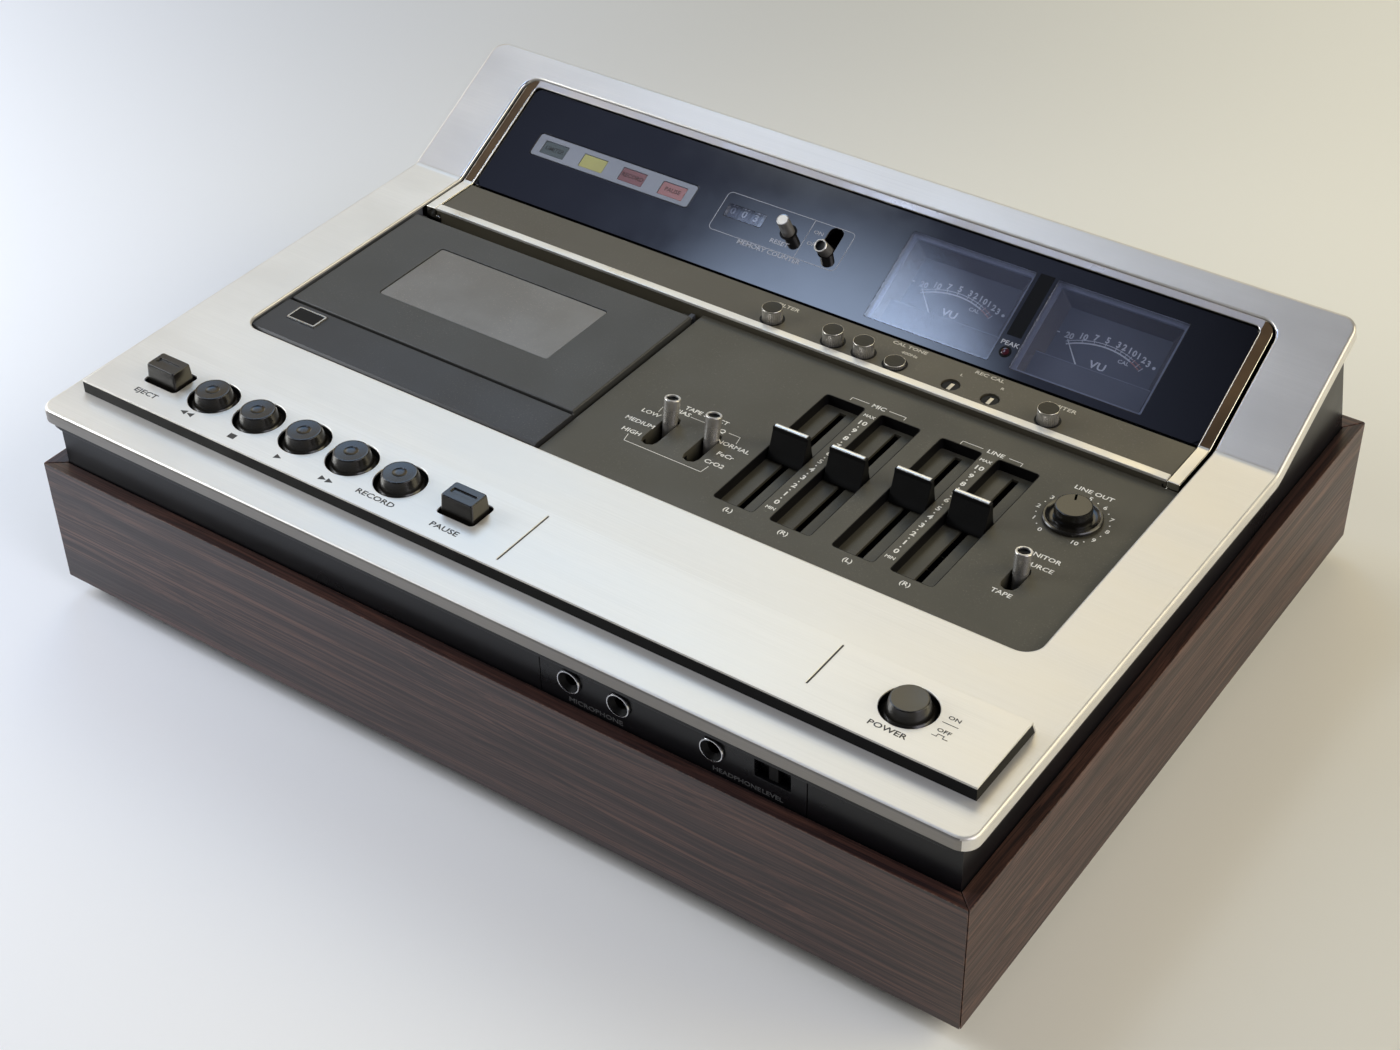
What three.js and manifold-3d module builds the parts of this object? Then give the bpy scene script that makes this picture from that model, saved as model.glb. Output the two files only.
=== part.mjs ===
// Cassette deck, a desk unit of the 1970s: a mitred wood case, a black body, a kinked
// aluminium top with a raised key plate, a lidded cassette bay, slide faders, toggles,
// a row of push buttons and a sloping meter panel.
// Millimetres, +Z up. X runs to the right, the front faces -Y, and the origin is the
// centre of the footprint on the surface that the feet stand on.
import * as THREE from "three";
import { mergeVertices } from "three/addons/utils/BufferGeometryUtils.js";
import Module from "manifold-3d";

const wasm = await Module();
wasm.setup();

// General clearances and facet counts
const seatGap = 0.3;
const overrun = 2;
const roundSteps = 20;
const smallRoundSteps = 12;
const cornerSteps = 5;
const smallCornerSteps = 2;

// Wood case
const caseWidth = 440;
const caseDepth = 328;
const caseHeight = 60;
const boardThickness = 7;
const boardBevelDrop = 1.4;
const mitreGap = 0.15;
const socketCutLeftShare = -0.3182;
const socketCutRightShare = 0.5;
const socketCutBottom = 14;
const socketCutTop = 46;

// Base plate and feet
const baseThickness = 2;
const footHeight = 9;
const footRadius = 12;
const footToeRadius = 10.5;
const footInset = 34;
const ventLength = 46;
const ventWidth = 3;
const ventPitch = 11;
const ventCount = 5;
const ventFrontY = 20;
const ventPlaceShare = 0.4;

// Top panel: a flat part, then a slope that rises to the back
const panelSideGap = 2;
const panelAboveCase = 28.2;
const panelFrontY = -162;
const panelKinkY = 73.8;
const panelSlopeLength = 75;
const slopeAngle = THREE.MathUtils.degToRad(28.17);
const sheetThickness = 1.5;
const rimDepth = 5.6;
const panelCornerRadius = 11;
const openingSideMargin = 27.6;
const openingFrontY = -70.6;
const openingRearMargin = 13;
const openingCornerRadius = 8;
const openingChamfer = 1;

// Black body inside the case
const bodyWall = 2.5;
const bodyRearMargin = 4;
const lipThickness = 2;
const lipInset = 0.6;
const shelfThickness = 2;
const shelfDrop = 10.2;
const shelfBackY = -108;
const stemClearance = 0.25;

// Raised key plate
const keyPlateSideMargin = 8.7;
const keyPlateFrontY = -143.8;
const keyPlateBackY = -103.4;
const keyPlateBackLean = 2.7;
const keyPlateHeight = 6;
const engravedWidth = 0.7;
const engravedDepth = 0.35;
const engravedBackY = -108.5;
const longLineFrontY = -139.5;
const shortLineFrontY = -132.3;
const longLineShare = 0.0205;
const shortLineShare = 0.646;

// Keys: five round ones between two square ones, and the power button
const keyRowY = -123;
const keyWeb = 3.3;
const keyHoleGap = 0.8;
const keyTaper = 1.8;
const firstRoundKeyShare = -0.742;
const roundKeyPitchShare = 0.118;
const roundKeyCount = 5;
const powerShare = 0.8161;
const ejectShare = -0.8586;
const pauseShare = -0.1161;
const keyTopRise = 4.2;
const keyEdgeBevel = 0.6;
const keyDimpleRadius = 3.4;
const keyDimpleDepth = 0.3;
const keySkirtDrop = 3.4;
const keyStemRadius = 4;
const keyStemBelowShelf = 9;
const squareHoleWidth = 18;
const squareHoleDepth = 14.2;
const squareHoleRadius = 2;
const squareTopRise = 7.4;
const squareTopWidth = 14.6;
const squareTopDepth = 8.4;
const squareBaseWidth = 16.8;
const squareBaseDepth = 12.9;
const squareCornerRadius = 0.9;
const squareGrooveWidth = 11.4;
const squareGrooveDepth = 2.8;
const squareGrooveSink = 0.7;

// Control panel at the right of the cassette bay
const controlDrop = 3.7;
const controlThickness = 2;
const controlLeftGap = 4.2;
const hiddenMargin = 3;
const hiddenWall = 2;
const faderPocketWidth = 18.9;
const faderPocketLength = 82.2;
const faderPocketY = -13.1;
const faderPocketDepth = 5;
const faderPocketFloor = 1.5;
const faderPocketWall = 1.5;
const faderPocketRadius = 1.6;
const faderSlotWidth = 3.2;
const faderSlotLength = 75;
const faderSlotY = -12;

// Fader caps
const faderCapWidth = 16.5;
const faderCapLength = 8.5;
const faderCapRise = 9.5;
const faderCapLift = 0.7;
const faderRidgeWidth = 14.8;
const faderRidgeLength = 1.3;
const faderRidgeRise = 0.5;
const faderStemWidth = 2.4;
const faderStemLength = 5;
const faderStemDrop = 8;
const capRearShare = 0.72;
const capFrontShare = 0.2;
const capFaceShare = 0.74;
const faders = [
  { name: "fader_mic_left", acrossShare: 0.2647, restShare: -0.024 },
  { name: "fader_mic_right", acrossShare: 0.4013, restShare: -0.0147 },
  { name: "fader_line_left", acrossShare: 0.5488, restShare: 0.0187 },
  { name: "fader_line_right", acrossShare: 0.6838, restShare: 0.0173 },
];

// Toggle levers
const toggleRadius = 3.2;
const toggleWaistRadius = 2.7;
const toggleCupRadius = 2.5;
const toggleCupDepth = 0.9;
const cupFloorShare = 0.6;
const toggleSlotWidth = 7;
const togglePivotDepth = 28.5;
const togglePinRadius = 1.5;
const togglePinGap = 0.15;
const togglePinLength = 13;
const toggleHubRadius = 3;
const bracketWall = 2;
const bracketGap = 3.8;
const bracketLength = 11;
const bracketBelowPin = 4;
const tapeToggleY = -30.25;
const tapeSlotLength = 21.7;
const tapeLeanDegrees = 12.2;
const biasRise = 10.8;
const equalizerRise = 10.5;
const monitorY = -32.05;
const monitorSlotLength = 15.9;
const monitorLeanDegrees = 7.4;
const monitorRise = 9.3;
const biasShare = -0.0026;
const equalizerShare = 0.1035;
const monitorShare = 0.8508;

// Output level knob
const knobShare = 0.855;
const knobY = 10.4;
const knobSkirtRadius = 11.7;
const knobRimWidth = 1;
const knobRimHeight = 1.5;
const knobDishRadius = 8.4;
const knobDishSink = 1;
const knobCapRadius = 7.3;
const knobCapFlare = 0.4;
const knobCapHeight = 6.4;
const knobCapBevel = 0.4;
const knobShaftRadius = 3;
const knobShaftLength = 9;
const knobHousingRadius = 11;
const knobHousingHeight = 8;
const pointerDegrees = 109.5;
const pointerWidth = 0.9;
const pointerLength = 3.4;
const pointerSink = 0.3;

// Cassette bay, its lid and the cover over the heads
const bayTuck = 2.8;
const bayRightShare = -0.2017;
const bayFrontY = -74;
const bayRearWallDrop = 11.2;
const bayFloorDrop = 19.7;
const bayFloorThickness = 2;
const bayWall = 2;
const lidDrop = 1.7;
const lidThickness = 3;
const lidSideGap = 1.1;
const lidOverhang = 2.3;
const lidFrontY = -41.8;
const lidRearY = 41.3;
const lidSkirtWall = 1.6;
const lidSkirtDrop = 7;
const lidEdgeBevel = 0.5;
const windowLeftMargin = 29.3;
const windowRightMargin = 32.1;
const windowFrontY = -18;
const windowRearY = 24.3;
const windowThickness = 1.5;
const windowSink = 0.4;
const windowSeatWidth = 1.8;
const windowRadius = 1;
const hingeY = 44.2;
const hingeDrop = 7.2;
const hingeEarRadius = 2.6;
const hingeEarWidth = 2.2;
const hingePinRadius = 1.4;
const hingePinGap = 0.15;
const hingeSideGap = 0.4;
const coverFrontY = -68;
const coverRearY = -43.3;
const coverRightGap = 0.8;
const coverThickness = 2;
const coverSkirt = 8;
const coverChamfer = 1.1;
const coverLegWidth = 3;
const coverLegInset = 6;
const plateInset = 16.9;
const plateY = -50.7;
const plateWidth = 16;
const plateDepth = 9.5;
const plateRise = 0.6;

// Tape drive under the bay
const spindleShift = 0.1;
const spindleSpread = 21.25;
const spindleY = -8;
const spindleFlangeRadius = 8.5;
const spindleFlangeHeight = 1.4;
const spindleRadius = 3;
const spindleHeight = 9;
const spindleTipRadius = 1.6;
const spindleFinReach = 4.2;
const spindleFinWidth = 1;
const spindleFinCount = 3;
const spindleShaftRadius = 1.2;
const spindleShaftGap = 0.15;
const spindleShaftLength = 7;
const headWidth = 13;
const headDepth = 9;
const headHeight = 9.5;
const headY = -49;
const headNoseRadius = 7;
const guideSpread = 24;
const guideRadius = 2.2;
const guideHeight = 10;
const motorRadius = 17;
const motorHeight = 30;
const motorAside = 44;
const motorY = 18;
const flywheelRadius = 29;
const flywheelHeight = 5;
const flywheelDrop = 9;
const flywheelAside = 26;
const flywheelY = -22;
const flywheelPostRadius = 5;

// Step between the deck and the switch strip
const barFrontY = 47.5;
const barRearY = 51.5;
const barRise = 0.1;
const barHeight = 1.4;
const stripDrop = 0.8;
const stripThickness = 1.2;
const stripRearY = 73.5;
const stripWallDrop = 11;
const stripWallInset = 0.5;

// Bright trim round the switch strip and the meter panel
const trimSideGap = 1.6;
const trimRearGap = 1;
const trimTopDrop = 0.3;
const trimBandWidth = 5.3;
const trimRearBand = 2.9;
const trimSeatDrop = 4.3;
const trimLedge = 2;
const trimFlange = 2.4;
const trimFlangeThickness = 1.5;
const trimCornerRadius = 6;
const trimInnerRadius = 3;

// Push buttons and screwdriver adjusters on the strip
const buttonRowY = 57.5;
const buttonRadius = 4.5;
const buttonHoleRadius = 5.2;
const buttonTubeWall = 1.5;
const buttonTubeLength = 8;
const buttonRise = 6;
const buttonPressedRise = 1.6;
const buttonLength = 14;
const buttonBevel = 0.35;
const buttonDishRadius = 4;
const buttonDishSink = 0.25;
const adjusterRadius = 3.8;
const adjusterGap = 0.3;
const adjusterSink = 0.7;
const adjusterLength = 7;
const adjusterSlotWidth = 1.3;
const adjusterSlotLength = 5.4;
const adjusterSlotDepth = 0.9;
const stripButtons = [
  { name: "button_filter", acrossShare: -0.0294, rise: buttonRise },
  { name: "button_noise_reduction", acrossShare: 0.1303, rise: buttonRise },
  { name: "button_fm_mode", acrossShare: 0.2096, rise: buttonRise },
  { name: "button_cal_tone", acrossShare: 0.2889, rise: buttonPressedRise },
  { name: "button_limiter", acrossShare: 0.6628, rise: buttonRise },
];
const adjusters = [
  { name: "record_cal_left", acrossShare: 0.4286 },
  { name: "record_cal_right", acrossShare: 0.5247 },
];

// Meter panel, in the frame of the slope: X right, Y up the slope, Z out of it
const glassFrontAlong = 0.8;
const glassTopDrop = 1.5;
const glassThickness = 2.5;
const glassSideGap = 0.3;
const lampShare = 0.4806;
const lampAlong = 11.1;
const lampRadius = 1.8;
const lampRise = 0.6;
const lampShoulderShare = 0.75;

// Level meters
const meterForward = 1.5;
const meterSpacing = 10.2;
const meterEndMargin = 12.6;
const meterShellWall = 1.5;
const meterShellHeight = 22;
const meterDialDepth = 8.7;
const meterWellTaper = 12.7;
const meterWellShortening = 8.2;
const meterDialShift = -0.9;
const meterCoverTop = 19.5;
const meterCoverFloor = 2.6;
const meterCoverThickness = 1;
const meterCoverReach = 2.5;
const needlePivotAlong = 10.5;
const needleReach = 3;
const needleEndMargin = 10.5;
const needleWidth = 0.8;
const needleThickness = 0.5;
const needleHubRadius = 2;
const needleHubHeight = 1.5;
const needlePostRadius = 0.8;
const needlePostGap = 0.15;
const needleRestDegrees = 41.5;
const leftMeterShare = 0.2965;
const rightMeterShare = 0.6636;

// Indicator frame with four lenses
const indicatorLeftShare = -0.875;
const indicatorRightShare = -0.4091;
const indicatorRearMargin = 27;
const indicatorDepth = 11.6;
const indicatorFlange = 2;
const indicatorFlangeThickness = 1.6;
const indicatorRadius = 1.2;
const lensRib = 8.9;
const lensDepth = 7;
const lensEndMargin = 0.125;
const lensCount = 4;
const lensSink = 1;

// Tape counter
const counterShare = -0.2726;
const counterRearMargin = 25.2;
const wheelPitch = 6.15;
const wheelWidth = 5.6;
const wheelRadius = 9;
const wheelBelowGlass = 1.4;
const wheelShaftRadius = 1.5;
const wheelShaftGap = 0.15;
const frameWall = 1.6;
const frameGap = 0.6;
const frameDepth = 22;
const frameEndMargin = 2;
const frameBackWall = 1.5;
const wheelNames = ["counter_wheel_hundreds", "counter_wheel_tens", "counter_wheel_units"];
const resetShare = -0.1376;
const resetForward = 2.6;
const resetRadius = 2.85;
const resetHoleRadius = 3.5;
const resetRise = 10;
const resetLength = 24;
const resetGuideGap = 0.25;
const resetGuideWall = 1.8;
const resetGuideTopDrop = 10;
const resetBevel = 0.4;
const memoryShare = -0.0278;
const memoryForward = 0.95;
const memorySlotLength = 15.7;
const memorySlotWidth = 7;
const memoryRadius = 3;
const memoryCupRadius = 2.3;
const memoryCupDepth = 0.7;
const memoryRise = 7.6;
const memoryPivotDepth = 18.5;
const memoryLeanDegrees = -13.2;
const memoryPinRadius = 1.2;
const memoryPinGap = 0.15;
const memoryPinLength = 9.6;
const memoryEarWall = 1.6;
const memoryEarLength = 7;

// Jacks and level slide on the front
const jackPlateLeftShare = 0.1688;
const jackPlateRightShare = 0.7137;
const jackPlateSink = 10;
const jackPlateDrop = 8.4;
const jackDrop = 18;
const jackRingRadius = 5.1;
const jackRingThickness = 1;
const jackBarrelRadius = 4.2;
const jackHoleRadius = 4.5;
const jackBoreRadius = 3.2;
const jackLength = 20;
const jacks = [
  { name: "jack_mic_left", acrossShare: 0.2341 },
  { name: "jack_mic_right", acrossShare: 0.3385 },
  { name: "jack_headphones", acrossShare: 0.5289 },
];
const slideShare = 0.6464;
const slideDrop = 17;
const slideRecessWidth = 15;
const slideRecessHeight = 8.6;
const slideRecessDepth = 4;
const slideRecessWall = 1.4;
const slideSlotWidth = 11;
const slideSlotHeight = 2.4;
const slideTabWidth = 4;
const slideTabHeight = 7.4;
const slideTabDepth = 3;
const slideStemWidth = 2.4;
const slideStemHeight = 1.8;
const slideStemLength = 4;

// Socket plate at the back and the mains transformer
const socketPlateMargin = 6;
const socketRadius = 4.6;
const socketBoreRadius = 1.7;
const socketBoreDepth = 6;
const socketLength = 7;
const socketBaseMargin = 7.5;
const socketBaseThickness = 1.6;
const socketPitchX = 20;
const socketPitchZ = 15;
const socketInset = 18;
const socketMiddleZ = 30;
const socketColumns = 3;
const glandInset = 16;
const glandRadius = 6.5;
const glandTipRadius = 5;
const glandLength = 6;
const coreWidth = 62;
const coreDepth = 34;
const coreHeight = 52;
const coilWidth = 36;
const coilDepth = 54;
const coilHeight = 34;
const transformerSideInset = 62.7;
const transformerRearInset = 60.7;

// Sizes and places that follow from the ones above. A share is of the half width that
// carries the piece: the case, the body, the key plate or the opening.
const bodyHalfWidth = caseWidth / 2 - boardThickness - seatGap;
const bodyHalfDepth = caseDepth / 2 - boardThickness - seatGap;
const panelTop = caseHeight + panelAboveCase;
const shelfTop = panelTop - shelfDrop;
const controlTop = panelTop - controlDrop;
const faderCapTop = controlTop + faderCapRise;
const bayRearWallTop = panelTop - bayRearWallDrop;
const bayFloorTop = panelTop - bayFloorDrop;
const lidTop = panelTop - lidDrop;
const hingeZ = panelTop - hingeDrop;
const barTop = panelTop + barRise;
const stripTop = panelTop - stripDrop;
const jackPlateBottom = caseHeight - jackPlateSink;
const jackPlateTop = panelTop - jackPlateDrop;
const jackZ = panelTop - jackDrop;
const slideZ = panelTop - slideDrop;
const bodyRearAlong = panelSlopeLength - bodyRearMargin;
const openingRearAlong = panelSlopeLength - openingRearMargin;
const trimRearAlong = openingRearAlong - trimRearGap;
const trimInnerRearAlong = trimRearAlong - trimRearBand;
const panelWidth = caseWidth - 2 * panelSideGap;
const openingWidth = panelWidth - 2 * openingSideMargin;
const openingHalf = openingWidth / 2;
const trimOuterWidth = openingWidth - 2 * trimSideGap;
const trimInnerWidth = trimOuterWidth - 2 * trimBandWidth;
const barWidth = trimInnerWidth - 2 * seatGap;
const keyPlateWidth = panelWidth - 2 * keyPlateSideMargin;
const keyPlateHalf = keyPlateWidth / 2;
const roundKeyPitch = keyPlateHalf * roundKeyPitchShare;
const firstRoundKeyX = keyPlateHalf * firstRoundKeyShare;
const ejectX = keyPlateHalf * ejectShare;
const pauseX = keyPlateHalf * pauseShare;
const powerX = keyPlateHalf * powerShare;
const keyHoleRadius = (roundKeyPitch - keyWeb) / 2;
const keySkirtRadius = keyHoleRadius - keyHoleGap;
const keyTopRadius = keySkirtRadius - keyTaper;
const bayLeftX = -openingHalf - bayTuck;
const bayRightX = openingHalf * bayRightShare;
const controlLeftX = bayRightX + controlLeftGap;
const lidLeftX = -openingHalf + lidSideGap;
const lidRightX = bayRightX + lidOverhang;
const windowLeftX = lidLeftX + windowLeftMargin;
const windowRightX = lidRightX - windowRightMargin;
const coverRightX = controlLeftX - coverRightGap;
const plateX = lidLeftX + plateInset;
const bayMiddleX = (windowLeftX + windowRightX) / 2 + spindleShift;
const motorX = bayMiddleX + motorAside;
const flywheelX = bayMiddleX - flywheelAside;
const knobX = openingHalf * knobShare;
const biasX = openingHalf * biasShare;
const equalizerX = openingHalf * equalizerShare;
const monitorX = openingHalf * monitorShare;
const leftMeterX = openingHalf * leftMeterShare;
const rightMeterX = openingHalf * rightMeterShare;
const meterWindowWidth = rightMeterX - leftMeterX - meterSpacing;
const meterDialWidth = meterWindowWidth - meterWellTaper;
const glassRearAlong = trimInnerRearAlong - glassSideGap;
const meterAlong = glassRearAlong / 2 - meterForward;
const meterWindowDepth = glassRearAlong - meterEndMargin;
const meterDialFloorDepth = meterWindowDepth - meterWellShortening;
const needleRoom = meterDialFloorDepth - needleEndMargin;
const needleLength = Math.min(meterDialWidth / 2 + needleReach, needleRoom);
const indicatorAlong = glassRearAlong - indicatorRearMargin;
const counterAlong = glassRearAlong - counterRearMargin;
const resetAlong = counterAlong - resetForward;
const memoryAlong = counterAlong - memoryForward;
const lampX = openingHalf * lampShare;
const indicatorLeftX = openingHalf * indicatorLeftShare;
const indicatorRightX = openingHalf * indicatorRightShare;
const indicatorX = (indicatorLeftX + indicatorRightX) / 2;
const indicatorWidth = indicatorRightX - indicatorLeftX;
const lensPitch = indicatorWidth / lensCount + lensEndMargin;
const lensWidth = lensPitch - lensRib;
const counterMiddleX = openingHalf * counterShare;
const resetX = openingHalf * resetShare;
const memoryX = openingHalf * memoryShare;
const frameRightX = memoryX + memoryRadius + seatGap + memoryEarWall + frameEndMargin;
const jackPlateLeftX = bodyHalfWidth * jackPlateLeftShare;
const jackPlateRightX = bodyHalfWidth * jackPlateRightShare;
const slideX = bodyHalfWidth * slideShare;
const socketCutLeft = (caseWidth / 2) * socketCutLeftShare;
const socketCutRight = (caseWidth / 2) * socketCutRightShare;
const socketFirstX = socketCutLeft + socketInset;
const glandX = socketCutRight - glandInset;
const transformerX = bodyHalfWidth - transformerSideInset;
const transformerY = bodyHalfDepth - transformerRearInset;
const baseTop = seatGap + baseThickness;
const bodyBottom = baseTop + seatGap;
const keyPlateTop = panelTop + keyPlateHeight;
const panelUnderside = panelTop - sheetThickness;
const bayRimTop = panelUnderside - seatGap;
const bayRimLeftX = -openingWidth / 2 - hiddenMargin;
const faderFloorZ = controlTop - faderPocketDepth;
const knobBase = controlTop + seatGap;
const lidUnderside = lidTop - lidThickness;
const glassHalfWidth = trimInnerWidth / 2 - glassSideGap;
const glassUnderside = -glassTopDrop - glassThickness;
const behindGlass = glassUnderside - seatGap;
const wheelAxisDepth = behindGlass - wheelBelowGlass - wheelRadius;
const bodyFrontY = -bodyHalfDepth;
const controlRearY = barFrontY - seatGap;
const bayRearY = barFrontY - seatGap;
const stemBottom = shelfTop - shelfThickness - keyStemBelowShelf - keyPlateTop;
const toggles = [
  {
    name: "toggle_bias", x: biasX, y: tapeToggleY,
    slotLength: tapeSlotLength, rise: biasRise, leanDegrees: tapeLeanDegrees,
  },
  {
    name: "toggle_equalizer", x: equalizerX, y: tapeToggleY,
    slotLength: tapeSlotLength, rise: equalizerRise, leanDegrees: tapeLeanDegrees,
  },
  {
    name: "toggle_monitor", x: monitorX, y: monitorY,
    slotLength: monitorSlotLength, rise: monitorRise, leanDegrees: monitorLeanDegrees,
  },
];
const meters = [
  { name: "meter_left", needle: "needle_left", x: leftMeterX },
  { name: "meter_right", needle: "needle_right", x: rightMeterX },
];
const engravedLines = [
  { x: keyPlateHalf * longLineShare, frontY: longLineFrontY },
  { x: keyPlateHalf * shortLineShare, frontY: shortLineFrontY },
];

// Geometry helpers

function solid(geometry) {
  const bare = geometry.clone();
  bare.deleteAttribute("normal");
  bare.deleteAttribute("uv");
  const merged = mergeVertices(bare);
  const corners = merged.getIndex().array;
  const kept = [];
  for (let i = 0; i < corners.length; i += 3) {
    const [a, b, c] = [corners[i], corners[i + 1], corners[i + 2]];
    if (a !== b && b !== c && c !== a) kept.push(a, b, c);
  }
  const vertProperties = new Float32Array(merged.getAttribute("position").array);
  const triVerts = new Uint32Array(kept);
  return new wasm.Manifold(new wasm.Mesh({ numProp: 3, vertProperties, triVerts }));
}

function surface(manifold) {
  const mesh = manifold.getMesh();
  const geometry = new THREE.BufferGeometry();
  geometry.setAttribute("position", new THREE.BufferAttribute(mesh.vertProperties, 3));
  geometry.setIndex(new THREE.BufferAttribute(mesh.triVerts, 1));
  return geometry;
}

function join(first, ...others) {
  return surface(others.reduce((sum, other) => sum.add(solid(other)), solid(first)));
}

function cut(first, ...tools) {
  return surface(tools.reduce((rest, tool) => rest.subtract(solid(tool)), solid(first)));
}

function common(first, second) {
  return surface(solid(first).intersect(solid(second)));
}

function box(x0, x1, y0, y1, z0, z1) {
  const geometry = new THREE.BoxGeometry(x1 - x0, y1 - y0, z1 - z0);
  return geometry.translate((x0 + x1) / 2, (y0 + y1) / 2, (z0 + z1) / 2);
}

function prism(outline, z0, z1) {
  const shape = new THREE.Shape(outline);
  const settings = { depth: z1 - z0, bevelEnabled: false };
  return new THREE.ExtrudeGeometry(shape, settings).translate(0, 0, z0);
}

// A profile drawn in (Y, Z) and pushed along X
function alongX(profile, x0, x1) {
  const geometry = prism(profile, 0, x1 - x0);
  const turn = new THREE.Matrix4().makeBasis(
    new THREE.Vector3(0, 1, 0),
    new THREE.Vector3(0, 0, 1),
    new THREE.Vector3(1, 0, 0),
  );
  return geometry.applyMatrix4(turn).translate(x0, 0, 0);
}

// Rings of equal point count, joined from the lowest to the highest
function loft(rings) {
  const count = rings[0].outline.length;
  const positions = [];
  for (const ring of rings) {
    for (const point of ring.outline) positions.push(point.x, point.y, ring.z);
  }
  const faces = [];
  for (let level = 0; level < rings.length - 1; level += 1) {
    for (let i = 0; i < count; i += 1) {
      const next = (i + 1) % count;
      const low = level * count;
      const high = low + count;
      faces.push(low + i, low + next, high + next, low + i, high + next, high + i);
    }
  }
  const last = (rings.length - 1) * count;
  for (const [a, b, c] of THREE.ShapeUtils.triangulateShape(rings[0].outline, [])) {
    faces.push(a, c, b);
  }
  for (const [a, b, c] of THREE.ShapeUtils.triangulateShape(rings.at(-1).outline, [])) {
    faces.push(last + a, last + b, last + c);
  }
  const geometry = new THREE.BufferGeometry();
  geometry.setAttribute("position", new THREE.Float32BufferAttribute(positions, 3));
  geometry.setIndex(faces);
  return geometry;
}

function circle(radius, steps = roundSteps) {
  const points = [];
  for (let i = 0; i < steps; i += 1) {
    const turn = (i / steps) * 2 * Math.PI;
    points.push(new THREE.Vector2(radius * Math.cos(turn), radius * Math.sin(turn)));
  }
  return points;
}

function roundedRect(width, depth, radius, steps = smallCornerSteps) {
  const points = [];
  const centres = [[1, -1], [1, 1], [-1, 1], [-1, -1]];
  centres.forEach(([sx, sy], corner) => {
    for (let i = 0; i <= steps; i += 1) {
      const turn = (corner - 1 + i / steps) * (Math.PI / 2);
      const x = sx * (width / 2 - radius) + radius * Math.cos(turn);
      const y = sy * (depth / 2 - radius) + radius * Math.sin(turn);
      points.push(new THREE.Vector2(x, y));
    }
  });
  return points;
}

function disc(radius, z0, z1, steps = roundSteps) {
  return prism(circle(radius, steps), z0, z1);
}

// A profile of [radius, height] pairs from the lowest axis point to the highest
function turned(profile, steps = roundSteps) {
  const points = profile.map(([radius, height]) => new THREE.Vector2(radius, height));
  return surface(solid(new THREE.LatheGeometry(points, steps).rotateX(Math.PI / 2)));
}

// A round pin along X
function pinAlongX(radius, x0, x1, steps = smallRoundSteps) {
  return alongX(circle(radius, steps), x0, x1);
}

// A round bar along Y
function pinAlongY(radius, y0, y1, steps = smallRoundSteps) {
  return disc(radius, -y1, -y0, steps).rotateX(Math.PI / 2);
}

function finish(color, roughness, metalness) {
  return new THREE.MeshStandardMaterial({ color, roughness, metalness, flatShading: true });
}

function piece(name, geometry, material) {
  const mesh = new THREE.Mesh(geometry, material);
  mesh.name = name;
  return mesh;
}

// Materials
const rosewood = () => finish(0x5f463e, 0.45, 0);
const blackSteel = () => finish(0x2a2b2d, 0.45, 0.2);
const brushedAluminium = () => finish(0xd6d1c8, 0.38, 0.9);
const brightTrim = () => finish(0xe9e4d8, 0.15, 1);
const chrome = () => finish(0xd9dadc, 0.1, 1);
const satinOlive = () => finish(0x59564b, 0.5, 0);
const satinGrey = () => finish(0x565654, 0.5, 0);
const smokedGlass = () => finish(0x20242c, 0.08, 0);
const dialGrey = () => finish(0x45464a, 0.5, 0);
const glossBlack = () => finish(0x17181a, 0.2, 0);
const zincGrey = () => finish(0x8b8d90, 0.5, 0.7);

// Places on the kinked top line: a drop is measured square to the face
function flatPoint(y, drop) {
  return new THREE.Vector2(y, panelTop - drop);
}

function kinkPoint(drop) {
  return new THREE.Vector2(panelKinkY + drop * Math.tan(slopeAngle / 2), panelTop - drop);
}

function slopePoint(along, drop) {
  const y = panelKinkY + along * Math.cos(slopeAngle) + drop * Math.sin(slopeAngle);
  const z = panelTop + along * Math.sin(slopeAngle) - drop * Math.cos(slopeAngle);
  return new THREE.Vector2(y, z);
}

const slopeMatrix = new THREE.Matrix4().makeRotationX(slopeAngle);
slopeMatrix.setPosition(0, panelKinkY, panelTop);

function kinkedSlab(topDrop, bottomDrop, frontY, rearAlong, width) {
  const profile = [
    flatPoint(frontY, bottomDrop),
    kinkPoint(bottomDrop),
    slopePoint(rearAlong, bottomDrop),
    slopePoint(rearAlong, topDrop),
    kinkPoint(topDrop),
    flatPoint(frontY, topDrop),
  ];
  return alongX(profile, -width / 2, width / 2);
}

// What a square corner loses when it is rounded
function cornerWaste(radius, reach) {
  const outline = [new THREE.Vector2(-overrun, -overrun), new THREE.Vector2(radius, -overrun)];
  for (let i = 0; i <= cornerSteps; i += 1) {
    const turn = -(1 + i / cornerSteps) * (Math.PI / 2);
    const x = radius + radius * Math.cos(turn);
    const y = radius + radius * Math.sin(turn);
    outline.push(new THREE.Vector2(x, y));
  }
  outline.push(new THREE.Vector2(-overrun, radius));
  return prism(outline, -reach, reach);
}

function roundedSlab(topDrop, bottomDrop, frontY, rearAlong, width, radius) {
  const reach = bottomDrop + radius;
  const half = width / 2;
  const frontLeft = cornerWaste(radius, reach).translate(-half, frontY, panelTop);
  const frontRight = cornerWaste(radius, reach).rotateZ(Math.PI / 2);
  frontRight.translate(half, frontY, panelTop);
  const rearRight = cornerWaste(radius, reach).rotateZ(Math.PI).translate(half, rearAlong, 0);
  const rearLeft = cornerWaste(radius, reach).rotateZ(-Math.PI / 2);
  rearLeft.translate(-half, rearAlong, 0);
  const slab = kinkedSlab(topDrop, bottomDrop, frontY, rearAlong, width);
  rearRight.applyMatrix4(slopeMatrix);
  rearLeft.applyMatrix4(slopeMatrix);
  return cut(slab, frontLeft, frontRight, rearRight, rearLeft);
}

// Wood case

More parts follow.
